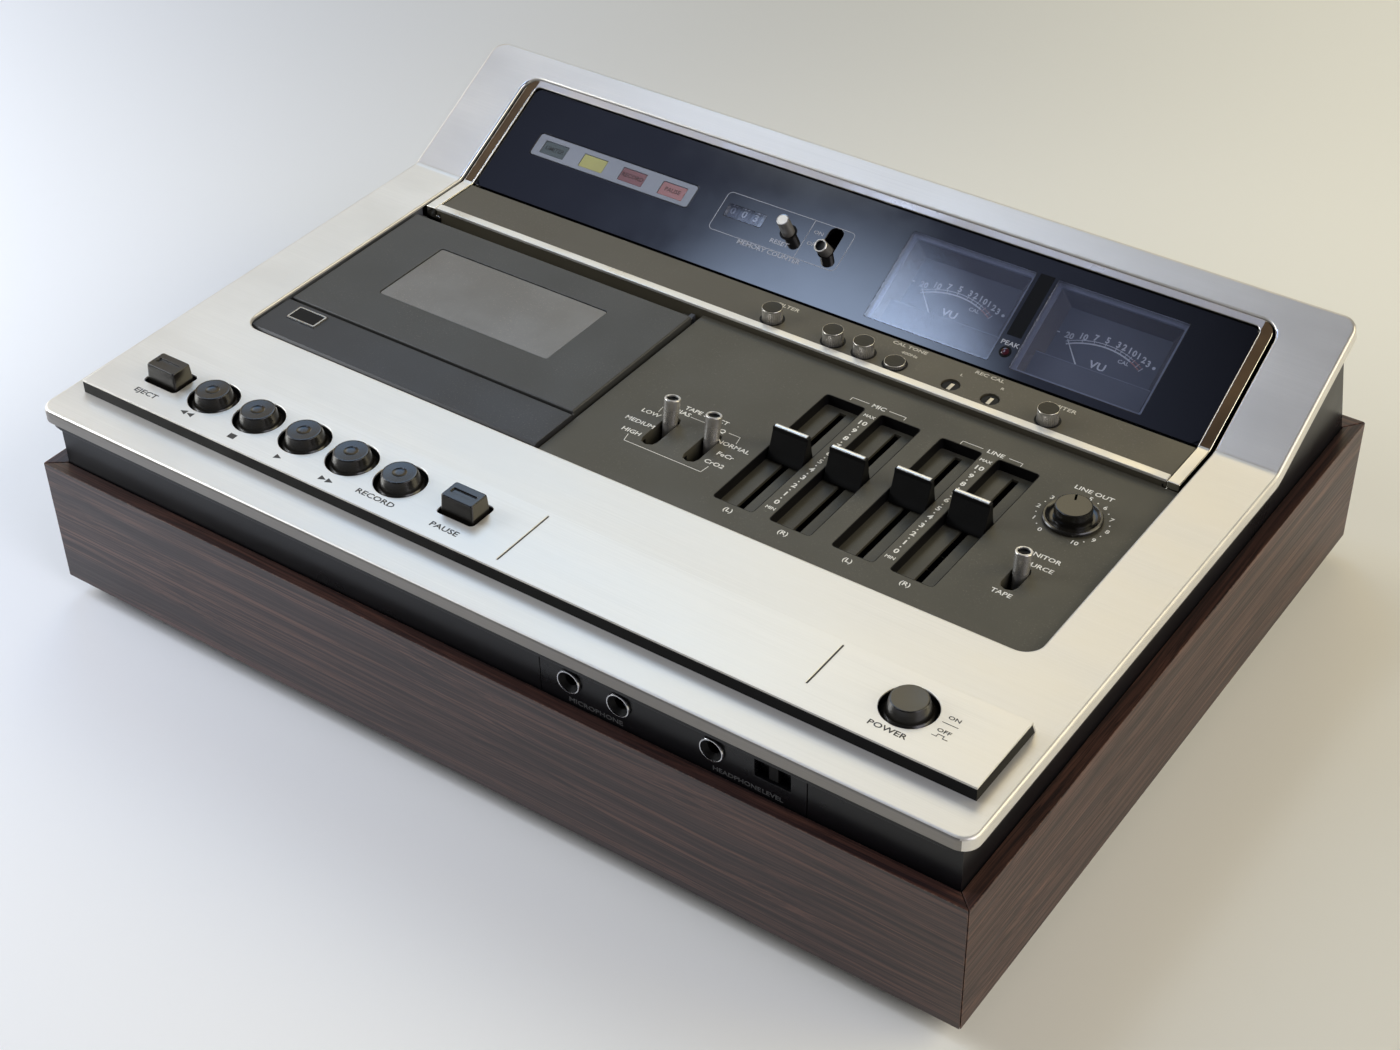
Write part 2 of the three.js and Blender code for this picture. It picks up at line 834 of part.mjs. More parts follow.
function boardOutline(length, depth) {
  const half = length / 2 - mitreGap;
  return [
    new THREE.Vector2(-half, -depth / 2),
    new THREE.Vector2(half, -depth / 2),
    new THREE.Vector2(half - boardThickness, -depth / 2 + boardThickness),
    new THREE.Vector2(-half + boardThickness, -depth / 2 + boardThickness),
  ];
}

// The top edge falls towards the inside
function board(length, depth) {
  const geometry = loft([
    { outline: boardOutline(length, depth), z: 0 },
    { outline: boardOutline(length, depth), z: caseHeight },
  ]);
  const wedgeProfile = [
    new THREE.Vector2(-depth / 2, caseHeight),
    new THREE.Vector2(-depth / 2 + boardThickness + overrun, caseHeight - boardBevelDrop),
    new THREE.Vector2(-depth / 2 + boardThickness + overrun, caseHeight + overrun),
    new THREE.Vector2(-depth / 2, caseHeight + overrun),
  ];
  return cut(geometry, alongX(wedgeProfile, -length, length));
}

function caseBoards() {
  const front = board(caseWidth, caseDepth);
  const opening = box(
    socketCutLeft, socketCutRight,
    0, caseDepth,
    socketCutBottom, socketCutTop,
  );
  const back = cut(board(caseWidth, caseDepth).rotateZ(Math.PI), opening);
  const left = board(caseDepth, caseWidth).rotateZ(-Math.PI / 2);
  const right = board(caseDepth, caseWidth).rotateZ(Math.PI / 2);
  return [
    piece("case_front", front, rosewood()),
    piece("case_back", back, rosewood()),
    piece("case_left", left, rosewood()),
    piece("case_right", right, rosewood()),
  ];
}

// Base plate with its moulded feet

function foot(signX, signY) {
  const body = turned([
    [0, -footHeight],
    [footToeRadius, -footHeight],
    [footRadius, seatGap],
    [footRadius, baseTop],
    [0, baseTop],
  ], smallRoundSteps);
  const x = signX * (caseWidth / 2 - footInset);
  const y = signY * (caseDepth / 2 - footInset);
  return body.translate(x, y, 0);
}

function ventSlots() {
  const slots = [];
  for (const side of [-1, 1]) {
    for (let i = 0; i < ventCount; i += 1) {
      const x = side * (caseWidth / 2) * ventPlaceShare;
      const y = ventFrontY + i * ventPitch;
      const slot = prism(roundedRect(ventLength, ventWidth, ventWidth / 2), 0, baseTop + overrun);
      slots.push(slot.translate(x, y, 0));
    }
  }
  return slots;
}

function basePlate() {
  const plate = box(
    -bodyHalfWidth, bodyHalfWidth,
    -bodyHalfDepth, bodyHalfDepth,
    seatGap, baseTop,
  );
  const feet = [foot(-1, -1), foot(1, -1), foot(1, 1), foot(-1, 1)];
  return piece("base_plate", cut(join(plate, ...feet), ...ventSlots()), blackSteel());
}

// Black body

function bodyProfile(inset, low, high) {
  const rearTop = slopePoint(bodyRearAlong - inset, high);
  return [
    new THREE.Vector2(-bodyHalfDepth + inset, low),
    new THREE.Vector2(bodyHalfDepth - inset, low),
    new THREE.Vector2(bodyHalfDepth - inset, caseHeight),
    rearTop,
    kinkPoint(high),
    flatPoint(-bodyHalfDepth + inset, high),
  ];
}

function keyPlaces() {
  const places = [];
  for (let i = 0; i < roundKeyCount; i += 1) places.push(firstRoundKeyX + i * roundKeyPitch);
  places.push(ejectX, pauseX, powerX);
  return places;
}

function bodyShell() {
  const high = sheetThickness + seatGap;
  const outer = alongX(bodyProfile(0, bodyBottom, high), -bodyHalfWidth, bodyHalfWidth);
  const lipTop = rimDepth + seatGap;
  const lip = roundedSlab(
    lipTop, lipTop + lipThickness,
    panelFrontY + lipInset, panelSlopeLength - lipInset,
    panelWidth - 2 * lipInset, panelCornerRadius - lipInset,
  );
  const innerHalf = bodyHalfWidth - bodyWall;
  const inner = alongX(bodyProfile(bodyWall, -overrun, -overrun), -innerHalf, innerHalf);
  const shelf = box(
    -bodyHalfWidth + bodyWall / 2, bodyHalfWidth - bodyWall / 2,
    bodyFrontY + bodyWall / 2, shelfBackY,
    shelfTop - shelfThickness, shelfTop,
  );
  const guide = disc(keyStemRadius + stemClearance, 0, shelfTop + overrun, smallRoundSteps);
  const guides = keyPlaces().map((x) => guide.clone().translate(x, keyRowY, 0));
  const jackCut = box(
    jackPlateLeftX, jackPlateRightX,
    bodyFrontY - overrun, bodyFrontY + bodyWall + overrun,
    jackPlateBottom, jackPlateTop + seatGap,
  );
  const socketCut = box(
    socketCutLeft - socketPlateMargin, socketCutRight + socketPlateMargin,
    bodyHalfDepth - bodyWall - overrun, bodyHalfDepth + overrun,
    socketCutBottom - socketPlateMargin, socketCutTop + socketPlateMargin,
  );
  const shell = cut(join(outer, lip), inner);
  const jackShelfCut = box(
    jackPlateLeftX, jackPlateRightX,
    bodyFrontY, bodyFrontY + jackLength + overrun,
    jackPlateBottom, jackPlateTop + seatGap,
  );
  const guided = cut(join(shell, cut(shelf, jackShelfCut)), ...guides, jackCut, socketCut);
  return piece("body_shell", guided, blackSteel());
}

// Kinked aluminium top

function keyHoleTools(low, high) {
  const tools = [];
  for (let i = 0; i < roundKeyCount; i += 1) {
    const x = firstRoundKeyX + i * roundKeyPitch;
    tools.push(disc(keyHoleRadius, low, high).translate(x, keyRowY, 0));
  }
  tools.push(disc(keyHoleRadius, low, high).translate(powerX, keyRowY, 0));
  for (const x of [ejectX, pauseX]) {
    const outline = roundedRect(squareHoleWidth, squareHoleDepth, squareHoleRadius);
    tools.push(prism(outline, low, high).translate(x, keyRowY, 0));
  }
  return tools;
}

// A tapered tool: the opening's outline, with its upper edge opened out by the chamfer
function openingTool(depth) {
  const rise = openingChamfer / 2;
  const wide = openingWidth + 2 * (openingChamfer + rise);
  const long = depth + 2 * (openingChamfer + rise);
  const outline = roundedRect(openingWidth, depth, openingCornerRadius, cornerSteps);
  const radius = openingCornerRadius + openingChamfer + rise;
  const flared = roundedRect(wide, long, radius, cornerSteps);
  return loft([
    { outline, z: -sheetThickness - overrun },
    { outline, z: -openingChamfer },
    { outline: flared, z: rise },
  ]);
}

function topPanel() {
  const shell = roundedSlab(
    0, rimDepth, panelFrontY, panelSlopeLength, panelWidth, panelCornerRadius,
  );
  const hollow = roundedSlab(
    sheetThickness, rimDepth + overrun,
    panelFrontY + sheetThickness, panelSlopeLength - sheetThickness,
    panelWidth - 2 * sheetThickness, panelCornerRadius - sheetThickness,
  );
  const flatDepth = panelKinkY - openingFrontY + openingCornerRadius;
  const flatY = openingFrontY + flatDepth / 2;
  const flatTool = common(
    openingTool(flatDepth).translate(0, flatY, panelTop),
    box(-panelWidth, panelWidth, panelFrontY, panelKinkY + openingChamfer / 2, 0, 2 * panelTop),
  );
  const slopeDepth = openingRearAlong + openingCornerRadius;
  const slopeTool = common(
    openingTool(slopeDepth).translate(0, openingRearAlong - slopeDepth / 2, 0),
    box(-panelWidth, panelWidth, -openingChamfer / 2, panelWidth, -panelTop, panelTop),
  ).applyMatrix4(slopeMatrix);
  const keyHoles = keyHoleTools(panelUnderside - overrun, panelTop + overrun);
  const panel = cut(shell, hollow, flatTool, slopeTool, ...keyHoles);
  return piece("top_panel", panel, brushedAluminium());
}

// Raised key plate

function keyPlate() {
  const bottom = panelTop;
  const profile = [
    new THREE.Vector2(keyPlateFrontY, bottom),
    new THREE.Vector2(keyPlateBackY, bottom),
    new THREE.Vector2(keyPlateBackY - keyPlateBackLean, keyPlateTop),
    new THREE.Vector2(keyPlateFrontY, keyPlateTop),
  ];
  const slab = alongX(profile, -keyPlateWidth / 2, keyPlateWidth / 2);
  const lines = engravedLines.map((line) => box(
    line.x - engravedWidth / 2, line.x + engravedWidth / 2,
    line.frontY, engravedBackY,
    keyPlateTop - engravedDepth, keyPlateTop + overrun,
  ));
  const holes = keyHoleTools(bottom - overrun, keyPlateTop + overrun);
  return piece("key_plate", cut(slab, ...holes, ...lines), brushedAluminium());
}

// Keys, drawn with the key plate's top face at Z 0

function roundKey() {
  const dimple = keyDimpleRadius + keyDimpleDepth;
  return turned([
    [0, stemBottom],
    [keyStemRadius, stemBottom],
    [keyStemRadius, -keySkirtDrop],
    [keySkirtRadius, -keySkirtDrop],
    [keyTopRadius + keyEdgeBevel, keyTopRise - keyEdgeBevel],
    [keyTopRadius, keyTopRise],
    [dimple, keyTopRise],
    [keyDimpleRadius, keyTopRise - keyDimpleDepth],
    [0, keyTopRise - keyDimpleDepth],
  ]);
}

function squareKey() {
  const base = roundedRect(squareBaseWidth, squareBaseDepth, squareCornerRadius);
  const shoulder = roundedRect(squareTopWidth, squareTopDepth, squareCornerRadius);
  const top = roundedRect(
    squareTopWidth - keyEdgeBevel, squareTopDepth - keyEdgeBevel,
    squareCornerRadius - keyEdgeBevel / 2,
  );
  const cap = loft([
    { outline: base, z: -keySkirtDrop },
    { outline: shoulder, z: squareTopRise - keyEdgeBevel },
    { outline: top, z: squareTopRise },
  ]);
  const grooveOutline = roundedRect(squareGrooveWidth, squareGrooveDepth, squareGrooveDepth / 2);
  const groove = prism(grooveOutline, squareTopRise - squareGrooveSink, squareTopRise + overrun);
  const stem = disc(keyStemRadius, stemBottom, squareTopRise / 2, smallRoundSteps);
  return cut(join(cap, stem), groove);
}

function keys() {
  const names = ["key_rewind", "key_stop", "key_play", "key_forward", "key_record"];
  const list = names.map((name, i) => {
    const mesh = piece(name, roundKey(), glossBlack());
    mesh.position.x = firstRoundKeyX + i * roundKeyPitch;
    return mesh;
  });
  for (const [name, x] of [["key_eject", ejectX], ["key_pause", pauseX]]) {
    const mesh = piece(name, squareKey(), glossBlack());
    mesh.position.x = x;
    list.push(mesh);
  }
  const power = piece("power_button", roundKey(), glossBlack());
  power.position.x = powerX;
  list.push(power);
  for (const mesh of list) {
    mesh.position.y = keyRowY;
    mesh.position.z = keyPlateTop;
  }
  return list;
}

// Control panel with its fader pockets, toggle slots and brackets

function faderPocket(x) {
  const wide = faderPocketWidth + 2 * faderPocketWall;
  const long = faderPocketLength + 2 * faderPocketWall;
  const bottom = faderFloorZ - faderPocketFloor;
  const high = controlTop - controlThickness / 2;
  return box(-wide / 2, wide / 2, -long / 2, long / 2, bottom, high).translate(x, faderPocketY, 0);
}

function faderPocketTools(x) {
  const hollow = prism(
    roundedRect(faderPocketWidth, faderPocketLength, faderPocketRadius),
    faderFloorZ, controlTop + overrun,
  );
  const slot = box(
    -faderSlotWidth / 2, faderSlotWidth / 2,
    -faderSlotLength / 2, faderSlotLength / 2,
    faderFloorZ - faderPocketFloor - overrun, faderFloorZ + overrun,
  );
  return [hollow.translate(x, faderPocketY, 0), slot.translate(x, faderSlotY, 0)];
}

function toggleBracket(toggle) {
  const low = controlTop - togglePivotDepth - bracketBelowPin;
  const sides = [-1, 1].map((side) => {
    const inner = side * bracketGap;
    const outer = side * (bracketGap + bracketWall);
    return box(
      toggle.x + Math.min(inner, outer), toggle.x + Math.max(inner, outer),
      toggle.y - bracketLength / 2, toggle.y + bracketLength / 2,
      low, controlTop - controlThickness / 2,
    );
  });
  return sides;
}

function toggleTools(toggle) {
  const radius = toggleSlotWidth / 2 - seatGap;
  const outline = roundedRect(toggleSlotWidth, toggle.slotLength, radius);
  const slot = prism(outline, controlTop - controlThickness - overrun, controlTop + overrun);
  const reach = bracketGap + bracketWall + overrun;
  const bore = pinAlongX(togglePinRadius + togglePinGap, -reach, reach);
  bore.translate(toggle.x, toggle.y, controlTop - togglePivotDepth);
  return [slot.translate(toggle.x, toggle.y, 0), bore];
}

function controlPanel() {
  const rightX = openingWidth / 2 + hiddenMargin;
  const frontY = openingFrontY - hiddenMargin;
  const low = controlTop - controlThickness;
  const plate = box(controlLeftX, rightX, frontY, controlRearY, low, controlTop);
  const rimX = rightX - seatGap;
  const rimY = frontY + seatGap;
  const rimOutline = [
    new THREE.Vector2(controlLeftX + seatGap, rimY),
    new THREE.Vector2(rimX, rimY),
    new THREE.Vector2(rimX, controlRearY - hiddenMargin),
    new THREE.Vector2(rimX - hiddenWall, controlRearY - hiddenMargin),
    new THREE.Vector2(rimX - hiddenWall, rimY + hiddenWall),
    new THREE.Vector2(controlLeftX + seatGap, rimY + hiddenWall),
  ];
  const rim = prism(rimOutline, controlTop - controlThickness / 2, bayRimTop);
  const pockets = faders.map((fader) => faderPocket(openingHalf * fader.acrossShare));
  const brackets = toggles.flatMap(toggleBracket);
  const housingLow = low - knobHousingHeight;
  const housing = disc(knobHousingRadius, housingLow, controlTop - controlThickness / 2);
  housing.translate(knobX, knobY, 0);
  const shaftHole = disc(knobShaftRadius + seatGap, housingLow - overrun, controlTop + overrun);
  shaftHole.translate(knobX, knobY, 0);
  const whole = join(plate, rim, ...pockets, ...brackets, housing);
  const tools = [
    ...faders.flatMap((fader) => faderPocketTools(openingHalf * fader.acrossShare)),
    ...toggles.flatMap(toggleTools),
    shaftHole,
  ];
  return piece("control_panel", cut(whole, ...tools), satinOlive());
}

// A fader cap: a wedge that leans back to a bright ridge, on a flat stem

function faderCap() {
  const height = faderCapTop - faderFloorZ - faderCapLift;
  const half = faderCapLength / 2;
  const profile = [
    new THREE.Vector2(-half, 0),
    new THREE.Vector2(half, 0),
    new THREE.Vector2(half * capRearShare, height),
    new THREE.Vector2(-half * capFrontShare, height),
    new THREE.Vector2(-half, height * capFaceShare),
  ];
  const wedge = alongX(profile, -faderCapWidth / 2, faderCapWidth / 2);
  const ridgeY = half * (capRearShare - capFrontShare) / 2;
  const ridge = box(
    -faderRidgeWidth / 2, faderRidgeWidth / 2,
    ridgeY - faderRidgeLength / 2, ridgeY + faderRidgeLength / 2,
    height / 2, height + faderRidgeRise,
  );
  const stem = box(
    -faderStemWidth / 2, faderStemWidth / 2,
    -faderStemLength / 2, faderStemLength / 2,
    -faderStemDrop, height / 2,
  );
  return join(wedge, ridge, stem);
}

function faderCaps() {
  return faders.map((fader) => {
    const mesh = piece(fader.name, faderCap(), glossBlack());
    const x = openingHalf * fader.acrossShare;
    const y = faderSlotY + faderSlotLength * fader.restShare;
    mesh.position.set(x, y, faderFloorZ + faderCapLift);
    return mesh;
  });
}

// A toggle lever, drawn upright on its cross pin

function toggleLever(toggle) {
  const lean = THREE.MathUtils.degToRad(toggle.leanDegrees);
  const length = (toggle.rise + togglePivotDepth) / Math.cos(lean);
  const lever = turned([
    [0, -toggleHubRadius],
    [toggleWaistRadius, -toggleHubRadius],
    [toggleWaistRadius, length / 2],
    [toggleRadius, length - toggleHubRadius],
    [toggleRadius, length],
    [toggleCupRadius, length],
    [toggleCupRadius * cupFloorShare, length - toggleCupDepth],
    [0, length - toggleCupDepth],
  ], smallRoundSteps);
  const pin = pinAlongX(togglePinRadius, -togglePinLength / 2, togglePinLength / 2);
  return join(lever, pin);
}

function toggleLevers() {
  return toggles.map((toggle) => {
    const mesh = piece(toggle.name, toggleLever(toggle), chrome());
    mesh.position.set(toggle.x, toggle.y, controlTop - togglePivotDepth);
    mesh.rotation.x = -THREE.MathUtils.degToRad(toggle.leanDegrees);
    return mesh;
  });
}

// The output knob: a dished skirt with a cap in its middle

function outputKnob() {
  const body = turned([
    [0, -knobShaftLength],
    [knobShaftRadius, -knobShaftLength],
    [knobShaftRadius, 0],
    [knobSkirtRadius, 0],
    [knobSkirtRadius - knobRimWidth / 4, knobRimHeight],
    [knobSkirtRadius - knobRimWidth, knobRimHeight],
    [knobDishRadius, knobRimHeight - knobDishSink],
    [knobCapRadius + knobCapFlare, knobRimHeight - knobDishSink],
    [knobCapRadius, knobCapHeight - knobCapBevel],
    [knobCapRadius - knobCapBevel, knobCapHeight],
    [0, knobCapHeight],
  ]);
  const pointer = box(
    knobCapRadius - knobCapBevel - pointerLength, knobCapRadius,
    -pointerWidth / 2, pointerWidth / 2,
    knobCapHeight - pointerSink, knobCapHeight + overrun,
  );
  pointer.rotateZ(THREE.MathUtils.degToRad(pointerDegrees));
  const mesh = piece("output_knob", cut(body, pointer), glossBlack());
  mesh.position.set(knobX, knobY, knobBase);
  return mesh;
}

// Cassette bay: an open tray with the fixed parts of the tape drive

function bayTray() {
  const low = bayFloorTop - bayFloorThickness;
  const high = bayRimTop + overrun;
  const innerLeftX = bayLeftX + bayWall;
  const innerRightX = bayRightX - bayWall;
  const innerRearY = bayRearY - bayWall;
  const lugFrontY = hingeY - hingeEarRadius;
  const block = box(bayLeftX, bayRightX, bayFrontY, bayRearY, low, bayRimTop);
  const hollow = box(
    innerLeftX, innerRightX,
    bayFrontY + bayWall, innerRearY,
    bayFloorTop, high,
  );
  const overRearWall = box(
    innerLeftX, innerRightX,
    innerRearY - overrun, bayRearY + overrun,
    bayRearWallTop, high,
  );
  const overRightWall = box(
    innerRightX - overrun, bayRightX + overrun,
    bayFrontY + bayWall, lugFrontY,
    lidUnderside - lidSkirtDrop - seatGap, high,
  );
  const overLug = box(
    innerRightX - overrun, bayRightX + overrun,
    lugFrontY - overrun, bayRearY + overrun,
    lidUnderside - seatGap, high,
  );
  return cut(block, hollow, overRearWall, overRightWall, overLug);
}

function driveParts() {
  const low = bayFloorTop - bayFloorThickness;
  const head = box(
    bayMiddleX - headWidth / 2, bayMiddleX + headWidth / 2,
    headY - headDepth / 2, headY + headDepth / 2,
    low, bayFloorTop + headHeight,
  );
  const middle = bayFloorTop - bayFloorThickness / 2;
  const nose = disc(headNoseRadius, middle, bayFloorTop + headHeight, smallRoundSteps);
  const guides = [-1, 1].map((side) =>
    disc(guideRadius, low, bayFloorTop + guideHeight, smallRoundSteps)
      .translate(bayMiddleX + side * guideSpread, headY, 0),
  );
  const motor = disc(motorRadius, low - motorHeight, middle);
  const post = disc(flywheelPostRadius, low - flywheelDrop, middle, smallRoundSteps);
  const wheel = disc(flywheelRadius, low - flywheelDrop - flywheelHeight, low - flywheelDrop);
  return [
    head,
    nose.translate(bayMiddleX, headY, 0),
    ...guides,
    motor.translate(motorX, motorY, 0),
    join(post, wheel).translate(flywheelX, flywheelY, 0),
  ];
}

function transportChassis() {
  const boreRadius = hingePinRadius + hingePinGap;
  const hingeBore = pinAlongX(boreRadius, bayLeftX - overrun, bayRightX + overrun);
  hingeBore.translate(0, hingeY, hingeZ);
  const shaftHoles = [-1, 1].map((side) =>
    disc(spindleShaftRadius + spindleShaftGap, 0, bayFloorTop + overrun, smallRoundSteps)
      .translate(bayMiddleX + side * spindleSpread, spindleY, 0),
  );
  const whole = join(bayTray(), ...driveParts());
  return piece("transport_chassis", cut(whole, hingeBore, ...shaftHoles), zincGrey());
}

function spindle(name, side) {
  const body = turned([
    [0, -spindleShaftLength],
    [spindleShaftRadius, -spindleShaftLength],
    [spindleShaftRadius, 0],
    [spindleFlangeRadius, 0],
    [spindleFlangeRadius, spindleFlangeHeight],
    [spindleRadius, spindleFlangeHeight],
    [spindleRadius, spindleHeight - spindleTipRadius],
    [spindleTipRadius, spindleHeight],
    [0, spindleHeight],
  ], smallRoundSteps);
  const fins = [];
  for (let i = 0; i < spindleFinCount; i += 1) {
    const fin = box(
      0, spindleFinReach,
      -spindleFinWidth / 2, spindleFinWidth / 2,
      spindleFlangeHeight / 2, spindleHeight - spindleTipRadius,
    );
    fins.push(fin.rotateZ((i / spindleFinCount) * 2 * Math.PI));
  }
  const mesh = piece(name, join(body, ...fins), finish(0xd8d6cf, 0.5, 0));
  mesh.position.set(bayMiddleX + side * spindleSpread, spindleY, bayFloorTop + seatGap);
  return mesh;
}

// The lid: a plate with a window, a skirt and two hinge ears with pins

function bevelledPlate(x0, x1, y0, y1, z0, z1, bevel) {
  const width = x1 - x0;
  const depth = y1 - y0;
  const outline = roundedRect(width, depth, bevel);
  const inset = roundedRect(width - 2 * bevel, depth - 2 * bevel, bevel / 2);
  const geometry = loft([
    { outline, z: z0 },
    { outline, z: z1 - bevel },
    { outline: inset, z: z1 },
  ]);
  return geometry.translate((x0 + x1) / 2, (y0 + y1) / 2, 0);
}

function hingeEar(innerX, pinEndX) {
  const outerX = innerX + Math.sign(pinEndX - innerX) * hingeEarWidth;
  const low = Math.min(innerX, outerX);
  const high = Math.max(innerX, outerX);
  const eye = pinAlongX(hingeEarRadius, low, high).translate(0, hingeY, hingeZ);
  const arm = alongX([
    new THREE.Vector2(hingeY - hingeEarRadius, hingeZ),
    new THREE.Vector2(hingeY, hingeZ - hingeEarRadius / 2),
    new THREE.Vector2(hingeY, hingeZ + hingeEarRadius / 2),
    new THREE.Vector2(lidRearY, lidUnderside + lidThickness / 2),
    new THREE.Vector2(lidRearY - 2 * hingeEarRadius, lidUnderside + lidThickness / 2),
    new THREE.Vector2(lidRearY - 2 * hingeEarRadius, lidUnderside),
  ], low, high);
  const pin = pinAlongX(hingePinRadius, Math.min(outerX, pinEndX), Math.max(innerX, pinEndX));
  return join(eye, arm, pin.translate(0, hingeY, hingeZ));
}

function lidSkirts() {
  const low = lidUnderside - lidSkirtDrop;
  const high = lidUnderside + lidThickness / 2;
  const inset = lidEdgeBevel / 2;
  return [
    box(lidLeftX, lidRightX, lidFrontY, lidFrontY + lidSkirtWall, low, high),
    box(lidLeftX, lidLeftX + lidSkirtWall, lidFrontY, lidRearY - inset, low, high),
    box(lidRightX - lidSkirtWall, lidRightX, lidFrontY, lidRearY - inset, low, high),
  ];
}

function cassetteLid() {
  const plate = bevelledPlate(
    lidLeftX, lidRightX, lidFrontY, lidRearY, lidUnderside, lidTop, lidEdgeBevel,
  );
  const width = windowRightX - windowLeftX;
  const depth = windowRearY - windowFrontY;
  const middleX = (windowLeftX + windowRightX) / 2;
  const middleY = (windowFrontY + windowRearY) / 2;
  const seatFloor = lidTop - windowSink - windowThickness - seatGap;
  const seat = prism(
    roundedRect(width + 2 * seatGap, depth + 2 * seatGap, windowRadius + seatGap),
    seatFloor, lidTop + overrun,
  ).translate(middleX, middleY, 0);
  const through = prism(
    roundedRect(width - 2 * windowSeatWidth, depth - 2 * windowSeatWidth, windowRadius),
    lidUnderside - overrun, lidTop,
  ).translate(middleX, middleY, 0);
  const rightInnerX = bayRightX - bayWall - hingeSideGap - hingeEarWidth;
  const leftEar = hingeEar(lidLeftX + hingeEarWidth, bayLeftX + hingeSideGap);
  const rightEar = hingeEar(rightInnerX, bayRightX - hingeSideGap);
  const whole = join(plate, ...lidSkirts(), leftEar, rightEar);
  const lid = piece("cassette_lid", cut(whole, seat, through), satinGrey());
  const pane = prism(
    roundedRect(width, depth, windowRadius),
    seatFloor + seatGap, lidTop - windowSink,
  ).translate(middleX, middleY, 0);
  return [lid, piece("lid_window", pane, smokedGlass())];
}

// The cover in front of the lid, with one plain plate on it

function headCover() {
  const low = lidTop - coverThickness;
  const profile = [
    new THREE.Vector2(coverFrontY, lidTop - coverSkirt),
    new THREE.Vector2(coverFrontY + coverThickness, lidTop - coverSkirt),
    new THREE.Vector2(coverFrontY + coverThickness, low),
    new THREE.Vector2(coverRearY, low),
    new THREE.Vector2(coverRearY, lidTop - lidEdgeBevel),
    new THREE.Vector2(coverRearY - lidEdgeBevel, lidTop),
    new THREE.Vector2(coverFrontY + coverChamfer, lidTop),
    new THREE.Vector2(coverFrontY, lidTop - coverChamfer),
  ];
  const top = alongX(profile, lidLeftX, coverRightX);
  const end = box(
    coverRightX - coverThickness, coverRightX,
    coverFrontY, coverRearY, lidTop - coverSkirt, lidTop - coverChamfer,
  );
  const legs = [lidLeftX + coverLegInset, bayRightX - bayWall - coverLegInset].map((x) => box(
    x - coverLegWidth / 2, x + coverLegWidth / 2,
    coverFrontY + coverThickness / 2, coverRearY - coverThickness,
    bayFloorTop + seatGap, lidTop - coverThickness / 2,
  ));
  const plate = bevelledPlate(
    plateX - plateWidth / 2, plateX + plateWidth / 2,
    plateY - plateDepth / 2, plateY + plateDepth / 2,
    low, lidTop + plateRise, plateRise / 2,
  );
  return piece("head_cover", join(top, end, ...legs, plate), satinGrey());
}

// Bright bar and switch strip

function stepBar() {
  const half = barWidth / 2;
  const bar = box(-half, half, barFrontY, barRearY, barTop - barHeight, barTop);
  return piece("step_bar", bar, brightTrim());
}

function onStrip(geometry, place) {
  return geometry.translate(openingHalf * place.acrossShare, buttonRowY, 0);
}

function switchStrip() {
  const half = barWidth / 2;
  const shelfHigh = barTop - barHeight - seatGap;
  const low = stripTop - stripThickness;
  const sheet = box(-half, half, barRearY + seatGap, stripRearY, low, stripTop);
  const shelfLow = shelfHigh - stripThickness;
  const wallFrontY = barFrontY + stripWallInset;
  const innerHalf = trimInnerWidth / 2 - trimLedge - seatGap;
  const shelfRearY = barRearY + seatGap + stripThickness;
  const shelf = box(-half, half, wallFrontY, shelfRearY, shelfLow, shelfHigh);
  const wall = box(
    -innerHalf, innerHalf,
    wallFrontY, wallFrontY + stripThickness,
    stripTop - stripWallDrop, shelfHigh,
  );
  const riser = box(
    -half, half,
    barRearY + seatGap, shelfRearY,
    shelfLow, stripTop,
  );
  const sideLow = panelTop - trimSeatDrop + seatGap;
  const sideHigh = stripTop - stripThickness / 2;
  const sides = [-1, 1].map((side) => {
    const x0 = side > 0 ? half - stripThickness : -half;
    return box(x0, x0 + stripThickness, wallFrontY, stripRearY, sideLow, sideHigh);
  });
  const tubeLow = low - buttonTubeLength;
  const tubeRadius = buttonHoleRadius + buttonTubeWall;
  const cupRadius = adjusterRadius + adjusterGap + buttonTubeWall;
  const tube = disc(tubeRadius, tubeLow, sideHigh, smallRoundSteps);
  const cup = disc(cupRadius, tubeLow, sideHigh, smallRoundSteps);
  const tubes = stripButtons.map((button) => onStrip(tube.clone(), button));
  const cups = adjusters.map((adjuster) => onStrip(cup.clone(), adjuster));
  const tools = [];
  for (const button of stripButtons) {
    const bore = disc(buttonHoleRadius, 0, stripTop + overrun, smallRoundSteps);
    tools.push(onStrip(bore, button));
  }
  for (const adjuster of adjusters) {
    const bore = disc(adjusterRadius + adjusterGap, 0, stripTop + overrun, smallRoundSteps);
    tools.push(onStrip(bore, adjuster));
  }
  const whole = join(sheet, shelf, wall, riser, ...sides, ...tubes, ...cups);
  return piece("switch_strip", cut(whole, ...tools), satinOlive());
}

function stripButton(button) {
  const low = button.rise - buttonLength;
  const body = turned([
    [0, low],
    [buttonRadius, low],
    [buttonRadius, button.rise - buttonBevel],
    [buttonRadius - buttonBevel, button.rise],
    [buttonDishRadius, button.rise],
    [buttonDishRadius - buttonDishSink, button.rise - buttonDishSink],
    [0, button.rise - buttonDishSink],
  ], smallRoundSteps);
  const mesh = piece(button.name, body, chrome());
  mesh.position.set(openingHalf * button.acrossShare, buttonRowY, stripTop);
  return mesh;
}

